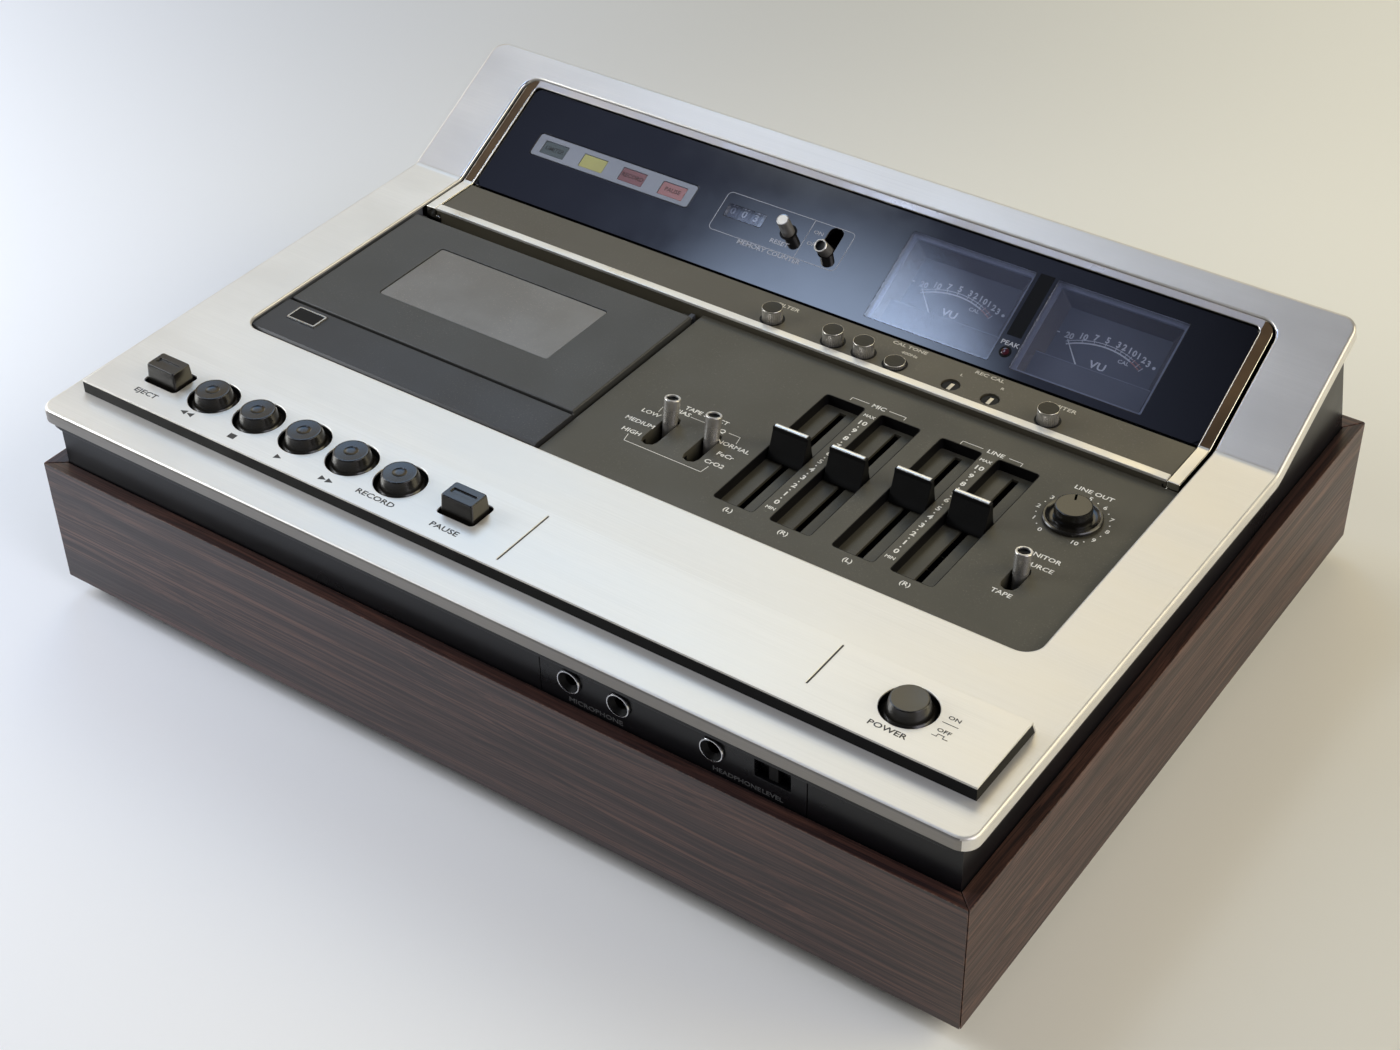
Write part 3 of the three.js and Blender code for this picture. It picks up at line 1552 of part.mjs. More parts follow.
function adjusterScrew(adjuster) {
  const low = -adjusterSink - adjusterLength;
  const body = disc(adjusterRadius, low, -adjusterSink, smallRoundSteps);
  const slot = box(
    -adjusterSlotWidth / 2, adjusterSlotWidth / 2,
    -adjusterSlotLength / 2, adjusterSlotLength / 2,
    -adjusterSink - adjusterSlotDepth, overrun,
  );
  const mesh = piece(adjuster.name, cut(body, slot), glossBlack());
  mesh.position.set(openingHalf * adjuster.acrossShare, buttonRowY, stripTop);
  return mesh;
}

// Trim: an upright band with a ledge inside it and a flange under the sheet

function meterTrim() {
  const bandBottom = trimSeatDrop + trimFlangeThickness;
  const flangeTop = sheetThickness + seatGap;
  const flangeWidth = openingWidth + 2 * trimFlange;
  const band = roundedSlab(
    trimTopDrop, bandBottom, barFrontY, trimRearAlong, trimOuterWidth, trimCornerRadius,
  );
  const squareFront = kinkedSlab(
    trimTopDrop, bandBottom, barFrontY, panelSlopeLength / 2, trimOuterWidth,
  );
  const flange = kinkedSlab(
    flangeTop, flangeTop + trimFlangeThickness,
    barFrontY, openingRearAlong + trimFlange, flangeWidth,
  );
  const seat = roundedSlab(
    -overrun, trimSeatDrop,
    barFrontY - panelSlopeLength, trimInnerRearAlong, trimInnerWidth, trimInnerRadius,
  );
  const through = kinkedSlab(
    -overrun, bandBottom + overrun,
    barFrontY - panelSlopeLength, trimInnerRearAlong - trimLedge, trimInnerWidth - 2 * trimLedge,
  );
  const whole = join(band, squareFront, flange);
  return piece("meter_trim", cut(whole, seat, through), brightTrim());
}

// Pieces of the slope, in its own frame

function rectTool(x, along, width, depth, radius, low, high) {
  return prism(roundedRect(width, depth, radius), low, high).translate(x, along, 0);
}

function meterPanel() {
  const depth = glassRearAlong - glassFrontAlong;
  const along = glassFrontAlong + depth / 2;
  const sheet = rectTool(
    0, along, 2 * glassHalfWidth, depth, trimInnerRadius, glassUnderside, -glassTopDrop,
  );
  const frontSquare = box(
    -glassHalfWidth, glassHalfWidth,
    glassFrontAlong, along,
    glassUnderside, -glassTopDrop,
  );
  const low = glassUnderside - overrun;
  const tools = [
    disc(resetHoleRadius, low, overrun, smallRoundSteps).translate(resetX, resetAlong, 0),
    rectTool(
      memoryX, memoryAlong,
      memorySlotWidth, memorySlotLength,
      memorySlotWidth / 2 - seatGap, low, overrun,
    ),
    rectTool(
      indicatorX, indicatorAlong,
      indicatorWidth + 2 * seatGap, indicatorDepth + 2 * seatGap,
      indicatorRadius, low, overrun,
    ),
  ];
  const lamp = turned([
    [0, glassUnderside],
    [lampRadius, glassUnderside],
    [lampRadius, -glassTopDrop],
    [lampRadius * lampShoulderShare, -glassTopDrop + lampRise * lampShoulderShare],
    [0, -glassTopDrop + lampRise],
  ], smallRoundSteps).translate(lampX, lampAlong, 0);
  const panel = join(cut(join(sheet, frontSquare), ...tools), lamp);
  return piece("meter_panel", panel, smokedGlass());
}

// A meter: a box behind the panel, with a tapering well down to its dial

function meterShell(meter) {
  const wide = meterWindowWidth + 2 * meterShellWall;
  const deep = meterWindowDepth + 2 * meterShellWall;
  const bottom = behindGlass - meterShellHeight;
  const dial = behindGlass - meterDialDepth;
  const shell = box(-wide / 2, wide / 2, -deep / 2, deep / 2, bottom, behindGlass);
  const flare = meterDialDepth / (meterDialDepth + overrun);
  const topWide = meterDialWidth + (meterWindowWidth - meterDialWidth) / flare;
  const topDeep = meterDialFloorDepth + (meterWindowDepth - meterDialFloorDepth) / flare;
  const wellFloor = roundedRect(meterDialWidth, meterDialFloorDepth, seatGap);
  const well = loft([
    { outline: wellFloor.map((p) => new THREE.Vector2(p.x, p.y + meterDialShift)), z: dial },
    { outline: roundedRect(topWide, topDeep, seatGap), z: behindGlass + overrun },
  ]);
  const coverLow = dial + meterCoverFloor;
  const coverEnd = meterCoverTop - meterAlong;
  const cover = box(
    -meterDialWidth / 2 - meterCoverReach, meterDialWidth / 2 + meterCoverReach,
    -deep / 2 + meterShellWall / 2, coverEnd,
    coverLow, coverLow + meterCoverThickness,
  );
  const postTop = coverLow + meterCoverThickness / 2;
  const post = disc(needlePostRadius, dial - overrun, postTop, smallRoundSteps);
  post.translate(0, needlePivotAlong - meterAlong, 0);
  const body = join(cut(shell, well), cover, post);
  const mesh = piece(meter.name, body, dialGrey());
  mesh.position.set(meter.x, meterAlong, 0);
  return mesh;
}

function meterNeedle(meter) {
  const hub = disc(needleHubRadius, 0, needleHubHeight, smallRoundSteps);
  const arm = box(
    -needleWidth / 2, needleWidth / 2,
    0, needleLength,
    0, needleThickness,
  );
  const boreTop = needleHubHeight + overrun;
  const bore = disc(needlePostRadius + needlePostGap, -overrun, boreTop, smallRoundSteps);
  const mesh = piece(meter.needle, cut(join(hub, arm), bore), finish(0xe8e8e6, 0.5, 0));
  mesh.position.set(meter.x, needlePivotAlong, behindGlass - meterDialDepth + seatGap);
  mesh.rotation.z = THREE.MathUtils.degToRad(needleRestDegrees);
  return mesh;
}

function indicatorFrame() {
  const front = rectTool(
    indicatorX, indicatorAlong, indicatorWidth, indicatorDepth, indicatorRadius,
    behindGlass - indicatorFlangeThickness, -glassTopDrop,
  );
  const flange = rectTool(
    indicatorX, indicatorAlong,
    indicatorWidth + 2 * indicatorFlange, indicatorDepth + 2 * indicatorFlange, indicatorRadius,
    behindGlass - indicatorFlangeThickness, behindGlass,
  );
  const lenses = [];
  for (let i = 0; i < lensCount; i += 1) {
    const x = indicatorX + (i - (lensCount - 1) / 2) * lensPitch;
    lenses.push(rectTool(
      x, indicatorAlong - seatGap, lensWidth, lensDepth, seatGap,
      -glassTopDrop - lensSink, overrun,
    ));
  }
  return piece("indicator_frame", cut(join(front, flange), ...lenses), dialGrey());
}

// Counter: a frame with cheeks and a shaft, three wheels, a reset plunger and a lever

function counterFrame() {
  const wheelsHalf = wheelPitch + wheelWidth / 2 + frameGap;
  const leftX = counterMiddleX - wheelsHalf - frameWall;
  const rightX = counterMiddleX + wheelsHalf;
  const backTop = behindGlass - frameDepth + frameBackWall;
  const backLow = behindGlass - frameDepth;
  const front = counterAlong - wheelRadius - frameGap;
  const rear = counterAlong + wheelRadius + frameGap;
  const back = box(leftX, frameRightX, front, rear, backLow, backTop);
  const leftCheek = box(leftX, leftX + frameWall, front, rear, backLow, behindGlass);
  const rightCheek = box(rightX, rightX + frameWall, front, rear, backLow, behindGlass);
  const shaft = pinAlongX(wheelShaftRadius, leftX + frameWall / 2, rightX + frameWall / 2);
  shaft.translate(0, counterAlong, wheelAxisDepth);
  const guideRadiusOuter = resetRadius + resetGuideGap + resetGuideWall;
  const guide = disc(guideRadiusOuter, backLow, behindGlass - resetGuideTopDrop, smallRoundSteps);
  guide.translate(resetX, resetAlong, 0);
  const pivotZ = -glassTopDrop - memoryPivotDepth;
  const ears = [-1, 1].map((side) => {
    const inner = side * (memoryRadius + seatGap);
    const outer = inner + side * memoryEarWall;
    return box(
      memoryX + Math.min(inner, outer), memoryX + Math.max(inner, outer),
      memoryAlong - memoryEarLength / 2, memoryAlong + memoryEarLength / 2,
      backLow, pivotZ + memoryEarLength / 2,
    );
  });
  const bore = disc(resetRadius + resetGuideGap, backLow - overrun, overrun, smallRoundSteps);
  const pinBore = pinAlongX(memoryPinRadius + memoryPinGap, -memoryPinLength, memoryPinLength);
  const tools = [
    bore.translate(resetX, resetAlong, 0),
    pinBore.translate(memoryX, memoryAlong, pivotZ),
  ];
  const leverRoom = box(
    memoryX - memoryRadius, memoryX + memoryRadius,
    memoryAlong - memoryEarLength / 2, memoryAlong + memoryEarLength / 2,
    backLow - overrun, backTop + overrun,
  );
  const whole = join(back, leftCheek, rightCheek, shaft, guide, ...ears);
  return piece("counter_frame", cut(whole, ...tools, leverRoom), zincGrey());
}

function counterWheel(name, place) {
  const rim = pinAlongX(wheelRadius, -wheelWidth / 2, wheelWidth / 2, roundSteps);
  const bore = pinAlongX(wheelShaftRadius + wheelShaftGap, -wheelWidth, wheelWidth);
  const mesh = piece(name, cut(rim, bore), finish(0x1c1c1e, 0.5, 0));
  mesh.position.set(counterMiddleX + place * wheelPitch, counterAlong, wheelAxisDepth);
  return mesh;
}

function resetPlunger() {
  const top = resetRise - glassTopDrop;
  const body = turned([
    [0, top - resetLength],
    [resetRadius, top - resetLength],
    [resetRadius, top - resetBevel],
    [resetRadius - resetBevel, top],
    [0, top],
  ], smallRoundSteps);
  const mesh = piece("counter_reset", body, chrome());
  mesh.position.set(resetX, resetAlong, 0);
  return mesh;
}

function memoryLever() {
  const length = memoryPivotDepth + memoryRise;
  const lever = turned([
    [0, -memoryRadius],
    [memoryRadius * cupFloorShare, -memoryRadius],
    [memoryRadius, 0],
    [memoryRadius, length],
    [memoryCupRadius, length],
    [memoryCupRadius * cupFloorShare, length - memoryCupDepth],
    [0, length - memoryCupDepth],
  ], smallRoundSteps);
  const pin = pinAlongX(memoryPinRadius, -memoryPinLength / 2, memoryPinLength / 2);
  const mesh = piece("memory_lever", join(lever, pin), chrome());
  mesh.position.set(memoryX, memoryAlong, -glassTopDrop - memoryPivotDepth);
  mesh.rotation.x = -THREE.MathUtils.degToRad(memoryLeanDegrees);
  return mesh;
}

// Front jack plate with its jacks and level slide

function jackPlate() {
  const backY = bodyFrontY + bodyWall;
  const plate = box(
    jackPlateLeftX + seatGap, jackPlateRightX - seatGap,
    bodyFrontY, backY,
    jackPlateBottom + seatGap, jackPlateTop,
  );
  const pocketBack = bodyFrontY + slideRecessDepth + slideRecessWall;
  const halfWidth = slideRecessWidth / 2;
  const halfHeight = slideRecessHeight / 2;
  const pocket = box(
    slideX - halfWidth - slideRecessWall, slideX + halfWidth + slideRecessWall,
    bodyFrontY + bodyWall / 2, pocketBack,
    slideZ - halfHeight - slideRecessWall, slideZ + halfHeight + slideRecessWall,
  );
  const recess = box(
    slideX - halfWidth, slideX + halfWidth,
    bodyFrontY - overrun, bodyFrontY + slideRecessDepth,
    slideZ - halfHeight, slideZ + halfHeight,
  );
  const slot = box(
    slideX - slideSlotWidth / 2, slideX + slideSlotWidth / 2,
    bodyFrontY, pocketBack + overrun,
    slideZ - slideSlotHeight / 2, slideZ + slideSlotHeight / 2,
  );
  const hole = pinAlongY(jackHoleRadius, bodyFrontY - overrun, backY + overrun);
  const holes = jacks.map((place) =>
    hole.clone().translate(bodyHalfWidth * place.acrossShare, 0, jackZ),
  );
  return piece("jack_plate", cut(join(plate, pocket), recess, slot, ...holes), blackSteel());
}

function jack(place) {
  const frontY = bodyFrontY - seatGap;
  const backY = frontY + jackLength;
  const ring = pinAlongY(jackRingRadius, frontY - jackRingThickness, frontY);
  const barrelFrontY = frontY - jackRingThickness / 2;
  const barrel = pinAlongY(jackBarrelRadius, barrelFrontY, backY);
  const bore = pinAlongY(jackBoreRadius, frontY - overrun, backY + overrun);
  const mesh = piece(place.name, cut(join(ring, barrel), bore), chrome());
  mesh.position.set(bodyHalfWidth * place.acrossShare, 0, jackZ);
  return mesh;
}

function levelSlide() {
  const backY = bodyFrontY + slideRecessDepth - seatGap;
  const tab = box(
    -slideTabWidth / 2, slideTabWidth / 2,
    backY - slideTabDepth, backY,
    -slideTabHeight / 2, slideTabHeight / 2,
  );
  const stem = box(
    -slideStemWidth / 2, slideStemWidth / 2,
    backY - slideTabDepth / 2, backY + slideStemLength,
    -slideStemHeight / 2, slideStemHeight / 2,
  );
  const mesh = piece("headphone_level_slide", join(tab, stem), glossBlack());
  mesh.position.set(slideX, 0, slideZ);
  return mesh;
}

// Socket plate at the back

function socketPlate() {
  const rearY = bodyHalfDepth;
  const plate = box(
    socketCutLeft - socketPlateMargin + seatGap, socketCutRight + socketPlateMargin - seatGap,
    rearY - bodyWall, rearY,
    socketCutBottom - socketPlateMargin + seatGap, socketCutTop + socketPlateMargin - seatGap,
  );
  const lastX = socketFirstX + (socketColumns - 1) * socketPitchX;
  const base = box(
    socketFirstX - socketBaseMargin, lastX + socketBaseMargin,
    rearY - bodyWall / 2, rearY + socketBaseThickness,
    socketMiddleZ - socketPitchZ / 2 - socketBaseMargin,
    socketMiddleZ + socketPitchZ / 2 + socketBaseMargin,
  );
  const rings = [];
  const bores = [];
  for (let column = 0; column < socketColumns; column += 1) {
    for (const row of [-1, 1]) {
      const x = socketFirstX + column * socketPitchX;
      const z = socketMiddleZ + (row * socketPitchZ) / 2;
      const ring = pinAlongY(socketRadius, rearY - bodyWall / 2, rearY + socketLength);
      const bore = pinAlongY(
        socketBoreRadius, rearY + socketLength - socketBoreDepth, rearY + socketLength + overrun,
      );
      rings.push(ring.translate(x, 0, z));
      bores.push(bore.translate(x, 0, z));
    }
  }
  const gland = turned([
    [0, 0],
    [glandRadius, 0],
    [glandTipRadius, glandLength],
    [0, glandLength],
  ], smallRoundSteps);
  gland.rotateX(-Math.PI / 2).translate(glandX, rearY - bodyWall / 2, socketMiddleZ);
  return piece("socket_plate", cut(join(plate, base, ...rings, gland), ...bores), blackSteel());
}

function powerTransformer() {
  const low = baseTop + seatGap;
  const core = box(
    -coreWidth / 2, coreWidth / 2,
    -coreDepth / 2, coreDepth / 2,
    low, low + coreHeight,
  );
  const coilMiddle = low + coreHeight / 2;
  const coil = box(
    -coilWidth / 2, coilWidth / 2,
    -coilDepth / 2, coilDepth / 2,
    coilMiddle - coilHeight / 2, coilMiddle + coilHeight / 2,
  );
  const mesh = piece("power_transformer", join(core, coil), zincGrey());
  mesh.position.set(transformerX, transformerY, 0);
  return mesh;
}

// The whole deck

function slopeGroup() {
  const slope = new THREE.Group();
  slope.position.set(0, panelKinkY, panelTop);
  slope.rotation.x = slopeAngle;
  slope.add(
    meterPanel(),
    ...meters.map(meterShell),
    ...meters.map(meterNeedle),
    indicatorFrame(),
    counterFrame(),
    ...wheelNames.map((name, i) => counterWheel(name, i - 1)),
    resetPlunger(),
    memoryLever(),
  );
  return slope;
}

const deck = new THREE.Group();
deck.position.z = footHeight;
deck.add(
  ...caseBoards(),
  basePlate(),
  bodyShell(),
  topPanel(),
  keyPlate(),
  ...keys(),
  controlPanel(),
  ...faderCaps(),
  ...toggleLevers(),
  outputKnob(),
  transportChassis(),
  spindle("spindle_supply", -1),
  spindle("spindle_takeup", 1),
  ...cassetteLid(),
  headCover(),
  stepBar(),
  switchStrip(),
  ...stripButtons.map(stripButton),
  ...adjusters.map(adjusterScrew),
  meterTrim(),
  slopeGroup(),
  jackPlate(),
  ...jacks.map(jack),
  levelSlide(),
  socketPlate(),
  powerTransformer(),
);

const part = new THREE.Group();
part.add(deck);
export default part;
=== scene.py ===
import math
import bpy
import bmesh
from mathutils import Matrix, Vector


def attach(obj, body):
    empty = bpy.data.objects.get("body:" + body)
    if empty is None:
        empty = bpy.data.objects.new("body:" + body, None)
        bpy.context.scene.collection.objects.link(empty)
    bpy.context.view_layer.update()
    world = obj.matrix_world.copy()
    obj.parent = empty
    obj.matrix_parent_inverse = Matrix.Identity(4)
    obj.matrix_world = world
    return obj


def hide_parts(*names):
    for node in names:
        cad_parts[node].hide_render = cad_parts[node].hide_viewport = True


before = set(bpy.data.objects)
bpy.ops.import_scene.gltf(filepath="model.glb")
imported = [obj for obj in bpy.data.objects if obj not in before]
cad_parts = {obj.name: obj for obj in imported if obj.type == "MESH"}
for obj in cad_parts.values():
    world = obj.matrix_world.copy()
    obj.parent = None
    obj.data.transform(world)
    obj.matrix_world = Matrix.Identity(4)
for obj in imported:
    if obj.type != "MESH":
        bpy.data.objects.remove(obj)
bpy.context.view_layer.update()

print("frame loaded")

mm = 0.001
deck = {"footHeight": 9.0, "panelTop": 88.2, "kinkY": 73.8, "slopeDegrees": 28.17, "plateTop": 94.2,
        "controlTop": 84.5, "stripTop": 87.4}
slopeTurn = math.radians(deck["slopeDegrees"])
# onDeck: millimetres over the wood's underside. onSlope: X, then up the slope, then out of it
onDeck = Matrix.Translation((0, 0, deck["footHeight"] * mm))
onSlope = (onDeck @ Matrix.Translation((0, deck["kinkY"] * mm, deck["panelTop"] * mm))
           @ Matrix.Rotation(slopeTurn, 4, "X"))


def at(base, x, y, z, turnX=0.0, turnZ=0.0):
    turn = Matrix.Rotation(math.radians(turnZ), 4, "Z") @ Matrix.Rotation(math.radians(turnX), 4, "X")
    return base @ Matrix.Translation((x * mm, y * mm, z * mm)) @ turn


# Shapes are given in millimetres and end up in metres

def meshObject(name, points, faces, place=onDeck):
    mesh = bpy.data.meshes.new(name)
    mesh.from_pydata([Vector(p) * mm for p in points], [], faces)
    obj = bpy.data.objects.new(name, mesh)
    bpy.context.scene.collection.objects.link(obj)
    obj.matrix_world = place
    return obj


def loft(name, rings, place=onDeck, closed=False):
    count = len(rings[0])
    points = [p for ring in rings for p in ring]
    faces = []
    for level in range(len(rings) - 1):
        low = level * count
        for i in range(count):
            j = (i + 1) % count
            faces.append((low + i, low + j, low + count + j, low + count + i))
    if closed:
        last = (len(rings) - 1) * count
        faces += [(last + i, last + (i + 1) % count, (i + 1) % count, i) for i in range(count)]
    else:
        faces.append(tuple(reversed(range(count))))
        faces.append(tuple(range(len(points) - count, len(points))))
    return meshObject(name, points, faces, place)


def circle(radius, steps=48, x=0.0, y=0.0):
    turns = [2 * math.pi * i / steps for i in range(steps)]
    return [(x + radius * math.cos(t), y + radius * math.sin(t)) for t in turns]


def roundRect(x0, x1, y0, y1, radius, steps=8):
    points = []
    for i, (x, y) in enumerate([(x1 - radius, y0 + radius), (x1 - radius, y1 - radius),
                                (x0 + radius, y1 - radius), (x0 + radius, y0 + radius)]):
        for k in range(steps + 1):
            turn = (i - 1 + k / steps) * math.pi / 2
            points.append((x + radius * math.cos(turn), y + radius * math.sin(turn)))
    return points


def rounded(wide, deep, radius, steps=8, x=0.0, y=0.0):
    return roundRect(x - wide / 2, x + wide / 2, y - deep / 2, y + deep / 2, radius, steps)


def raised(outline, z):
    return [(x, y, z) for x, y in outline]


def prism(name, outline, low, high, place=onDeck):
    return loft(name, [raised(outline, z) for z in (low, high)], place)


def alongX(name, profile, x0, x1, place=onDeck):
    return loft(name, [[(x, y, z) for y, z in profile] for x in (x0, x1)], place)


def turned(name, profile, place=onDeck, steps=64, closed=False):
    obj = loft(name, [raised(circle(max(r, 0.001), steps), z) for r, z in profile], place, closed)
    edit(obj, lambda bm: bmesh.ops.remove_doubles(bm, verts=bm.verts, dist=4e-6))
    return obj


def edit(obj, work):
    bm = bmesh.new()
    bm.from_mesh(obj.data)
    work(bm)
    bm.to_mesh(obj.data)
    bm.free()


def bake(obj):
    made = bpy.data.meshes.new_from_object(obj.evaluated_get(bpy.context.evaluated_depsgraph_get()))
    obj.modifiers.clear()
    old, obj.data = obj.data, made
    bpy.data.meshes.remove(old)


def carve(obj, tools, operation="DIFFERENCE"):
    for tool in tools:
        cut = obj.modifiers.new("cut", "BOOLEAN")
        cut.operation = operation
        cut.solver = "EXACT"
        cut.object = tool
    bake(obj)
    for tool in tools:
        bpy.data.objects.remove(tool)
    return obj


def soften(obj, width, segments=3, angle=32):
    bevel = obj.modifiers.new("edges", "BEVEL")
    bevel.width = width * mm
    bevel.segments = segments
    bevel.limit_method = "ANGLE"
    bevel.angle_limit = math.radians(angle)
    bevel.use_clamp_overlap = False
    return obj


# Rounds off chosen edges by their own amount: rule gives 0 to 1 for an edge's middle, in mm
def softenBy(obj, width, rule, segments=4):
    def weigh(bm):
        layer = bm.edges.layers.float.new("bevel_weight_edge")
        for edge in bm.edges:
            if len(edge.link_faces) == 2 and edge.calc_face_angle(0) > 0.5:
                edge[layer] = rule((edge.verts[0].co + edge.verts[1].co) / (2 * mm))
    edit(obj, weigh)
    bevel = obj.modifiers.new("edges", "BEVEL")
    bevel.width = width * mm
    bevel.segments = segments
    bevel.limit_method = "WEIGHT"
    bevel.use_clamp_overlap = False
    bake(obj)


def shade(obj, angle=34):
    obj.data.polygons.foreach_set("use_smooth", [True] * len(obj.data.polygons))
    obj.data.set_sharp_from_angle(angle=math.radians(angle))
    normals = obj.modifiers.new("normals", "WEIGHTED_NORMAL")
    normals.keep_sharp = True
    return obj


# Folds a flat sheet up at the kink line; the inside of the fold has a small radius
def fold(obj, radius=7.0, cuts=7):
    reach = radius * math.tan(slopeTurn / 2)
    kink, top = deck["kinkY"], deck["panelTop"]

    def bend(bm):
        for i in range(cuts + 1):
            line = kink - reach + 2 * reach * i / cuts
            bmesh.ops.bisect_plane(bm, geom=bm.verts[:] + bm.edges[:] + bm.faces[:], dist=1e-6,
                                   plane_co=(0, line * mm, 0), plane_no=(0, 1, 0))
        for vert in bm.verts:
            along, out = vert.co.y / mm - kink, vert.co.z / mm - top
            if along <= -reach:
                continue
            if along < reach:
                turn = (along + reach) / (2 * reach) * slopeTurn
                y, z = -reach + radius * math.sin(turn), radius * (1 - math.cos(turn))
            else:
                turn = slopeTurn
                y, z = along * math.cos(turn), along * math.sin(turn)
            vert.co.y = (kink + y - out * math.sin(turn)) * mm
            vert.co.z = (top + z + out * math.cos(turn)) * mm
    edit(obj, bend)


def merge(name, parts):
    bm = bmesh.new()
    used = []
    home = parts[0].matrix_world.copy()
    for part in parts:
        if part.modifiers:
            bake(part)
        for material in part.data.materials:
            if material not in used:
                used.append(material)
        remap = [used.index(m) for m in part.data.materials]
        part.data.transform(home.inverted() @ part.matrix_world)
        first = len(bm.faces)
        bm.from_mesh(part.data)
        bm.faces.ensure_lookup_table()
        for face in bm.faces[first:]:
            face.material_index = remap[face.material_index] if remap else 0
    mesh = bpy.data.meshes.new(name)
    bm.to_mesh(mesh)
    bm.free()
    for material in used:
        mesh.materials.append(material)
    for part in parts:
        bpy.data.objects.remove(part)
    obj = bpy.data.objects.new(name, mesh)
    bpy.context.scene.collection.objects.link(obj)
    obj.matrix_world = home
    return obj


finishes = {}


def paint(obj, *names):
    obj.data.materials.clear()
    for name in names:
        obj.data.materials.append(finishes[name])
    return obj


def seat(obj, body, slotName, *nodes):
    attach(obj, body)
    if nodes:
        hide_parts(*nodes)
    return obj


# Effects that several finishes share

def tone(r, g, b):
    shares = (r / 255, g / 255, b / 255)
    return tuple(c / 12.92 if c < 0.0404 else ((c + 0.055) / 1.055) ** 2.4 for c in shares) + (1,)


def times(colour, share):
    return tuple(min(1, c * share) for c in colour[:3]) + (1,)


def newGroup(name, label, value, *outputs):
    tree = bpy.data.node_groups.new(name, "ShaderNodeTree")
    kind = "NodeSocketVector" if isinstance(value, tuple) else "NodeSocketFloat"
    tree.interface.new_socket(label, in_out="INPUT", socket_type=kind).default_value = value
    for output in outputs:
        tree.interface.new_socket(output, in_out="OUTPUT", socket_type="NodeSocketFloat")
    return tree, tree.nodes.new("NodeGroupInput").outputs[0], tree.nodes.new("NodeGroupOutput").inputs


def addNode(tree, kind, links=(), **settings):
    node = tree.nodes.new(kind)
    for key, value in settings.items():
        setattr(node, key, value)
    for label, source in links:
        if hasattr(source, "links"):
            tree.links.new(source, node.inputs[label])
        else:
            node.inputs[label].default_value = source
    return node


def combine(tree, operation, first, second):
    return addNode(tree, "ShaderNodeMath", [(0, first), (1, second)], operation=operation).outputs[0]


# Two vectors give a number for DOT_PRODUCT and DISTANCE, and a vector otherwise
def combineVectors(tree, operation, first, second):
    node = addNode(tree, "ShaderNodeVectorMath", [(0, first), (1, second)], operation=operation)
    return node.outputs["Value" if operation in ("DOT_PRODUCT", "DISTANCE") else "Vector"]


def scaleVector(tree, vector, factor):
    node = addNode(tree, "ShaderNodeVectorMath", [(0, vector), ("Scale", factor)], operation="SCALE")
    return node.outputs[0]


def scaled(tree, vector, factor, stretch=(1, 1, 1)):
    return scaleVector(tree, combineVectors(tree, "MULTIPLY", vector, stretch), factor)


def objectPlace(tree):
    return addNode(tree, "ShaderNodeTexCoord").outputs["Object"]


def noise(tree, vector, detail=3.0, rough=0.6):
    return addNode(tree, "ShaderNodeTexNoise",
                   [("Vector", vector), ("Scale", 1.0), ("Detail", detail), ("Roughness", rough)]).outputs[0]


def spread(tree, value, low, high):
    return addNode(tree, "ShaderNodeMapRange", [("Value", value), ("From Min", low), ("From Max", high)],
                   interpolation_type="SMOOTHSTEP").outputs[0]


def buildBrush():
    tree, fineness, out = newGroup("brushLines", "Fineness", 1.0, "Streak", "Cloud")
    where = objectPlace(tree)
    fine = noise(tree, scaled(tree, where, fineness, (30, 4300, 4300)), 3, 0.6)
    long = noise(tree, scaled(tree, where, fineness, (8, 1500, 1500)), 2, 0.5)
    half = combine(tree, "MULTIPLY", combine(tree, "ADD", fine, long), 0.5)
    tree.links.new(spread(tree, half, 0.3, 0.7), out["Streak"])
    cloud = noise(tree, scaled(tree, where, 1.0, (14, 34, 34)), 3, 0.55)
    tree.links.new(spread(tree, cloud, 0.25, 0.75), out["Cloud"])
    return tree


def buildGrain():
    tree, grains, out = newGroup("mouldedGrain", "Grains per metre", 2200.0, "Grain", "Patch")
    where = objectPlace(tree)
    tree.links.new(noise(tree, scaled(tree, where, grains), 2, 0.6), out["Grain"])
    tree.links.new(spread(tree, noise(tree, scaled(tree, where, 22.0), 4, 0.6), 0.3, 0.72), out["Patch"])
    return tree


def buildWear():
    tree, width, out = newGroup("edgeWear", "Width", 0.0006, "Worn")
    rounding = addNode(tree, "ShaderNodeBevel", [("Radius", width)], samples=4).outputs[0]
    plain = addNode(tree, "ShaderNodeNewGeometry").outputs["Normal"]
    alike = combineVectors(tree, "DOT_PRODUCT", rounding, plain)
    edge = addNode(tree, "ShaderNodeMapRange",
                   [("Value", alike), ("From Min", 0.995), ("From Max", 0.93)]).outputs[0]
    broken = noise(tree, scaled(tree, objectPlace(tree), 420.0), 4, 0.7)
    tree.links.new(combine(tree, "MULTIPLY", edge, spread(tree, broken, 0.42, 0.72)), out["Worn"])
    return tree


def buildDust():
    tree, amount, out = newGroup("settledDust", "Amount", 0.3, "Dust")
    normal = addNode(tree, "ShaderNodeNewGeometry").outputs["Normal"]
    up = addNode(tree, "ShaderNodeSeparateXYZ", [(0, normal)]).outputs["Z"]
    where = objectPlace(tree)
    specks = spread(tree, noise(tree, scaled(tree, where, 1300.0), 3, 0.8), 0.56, 0.74)
    drifts = spread(tree, noise(tree, scaled(tree, where, 35.0), 3, 0.6), 0.3, 0.7)
    lying = combine(tree, "MULTIPLY", spread(tree, up, 0.3, 1.0), specks)
    patchy = combine(tree, "MULTIPLY", lying, drifts)
    tree.links.new(combine(tree, "MULTIPLY", patchy, amount), out["Dust"])
    return tree


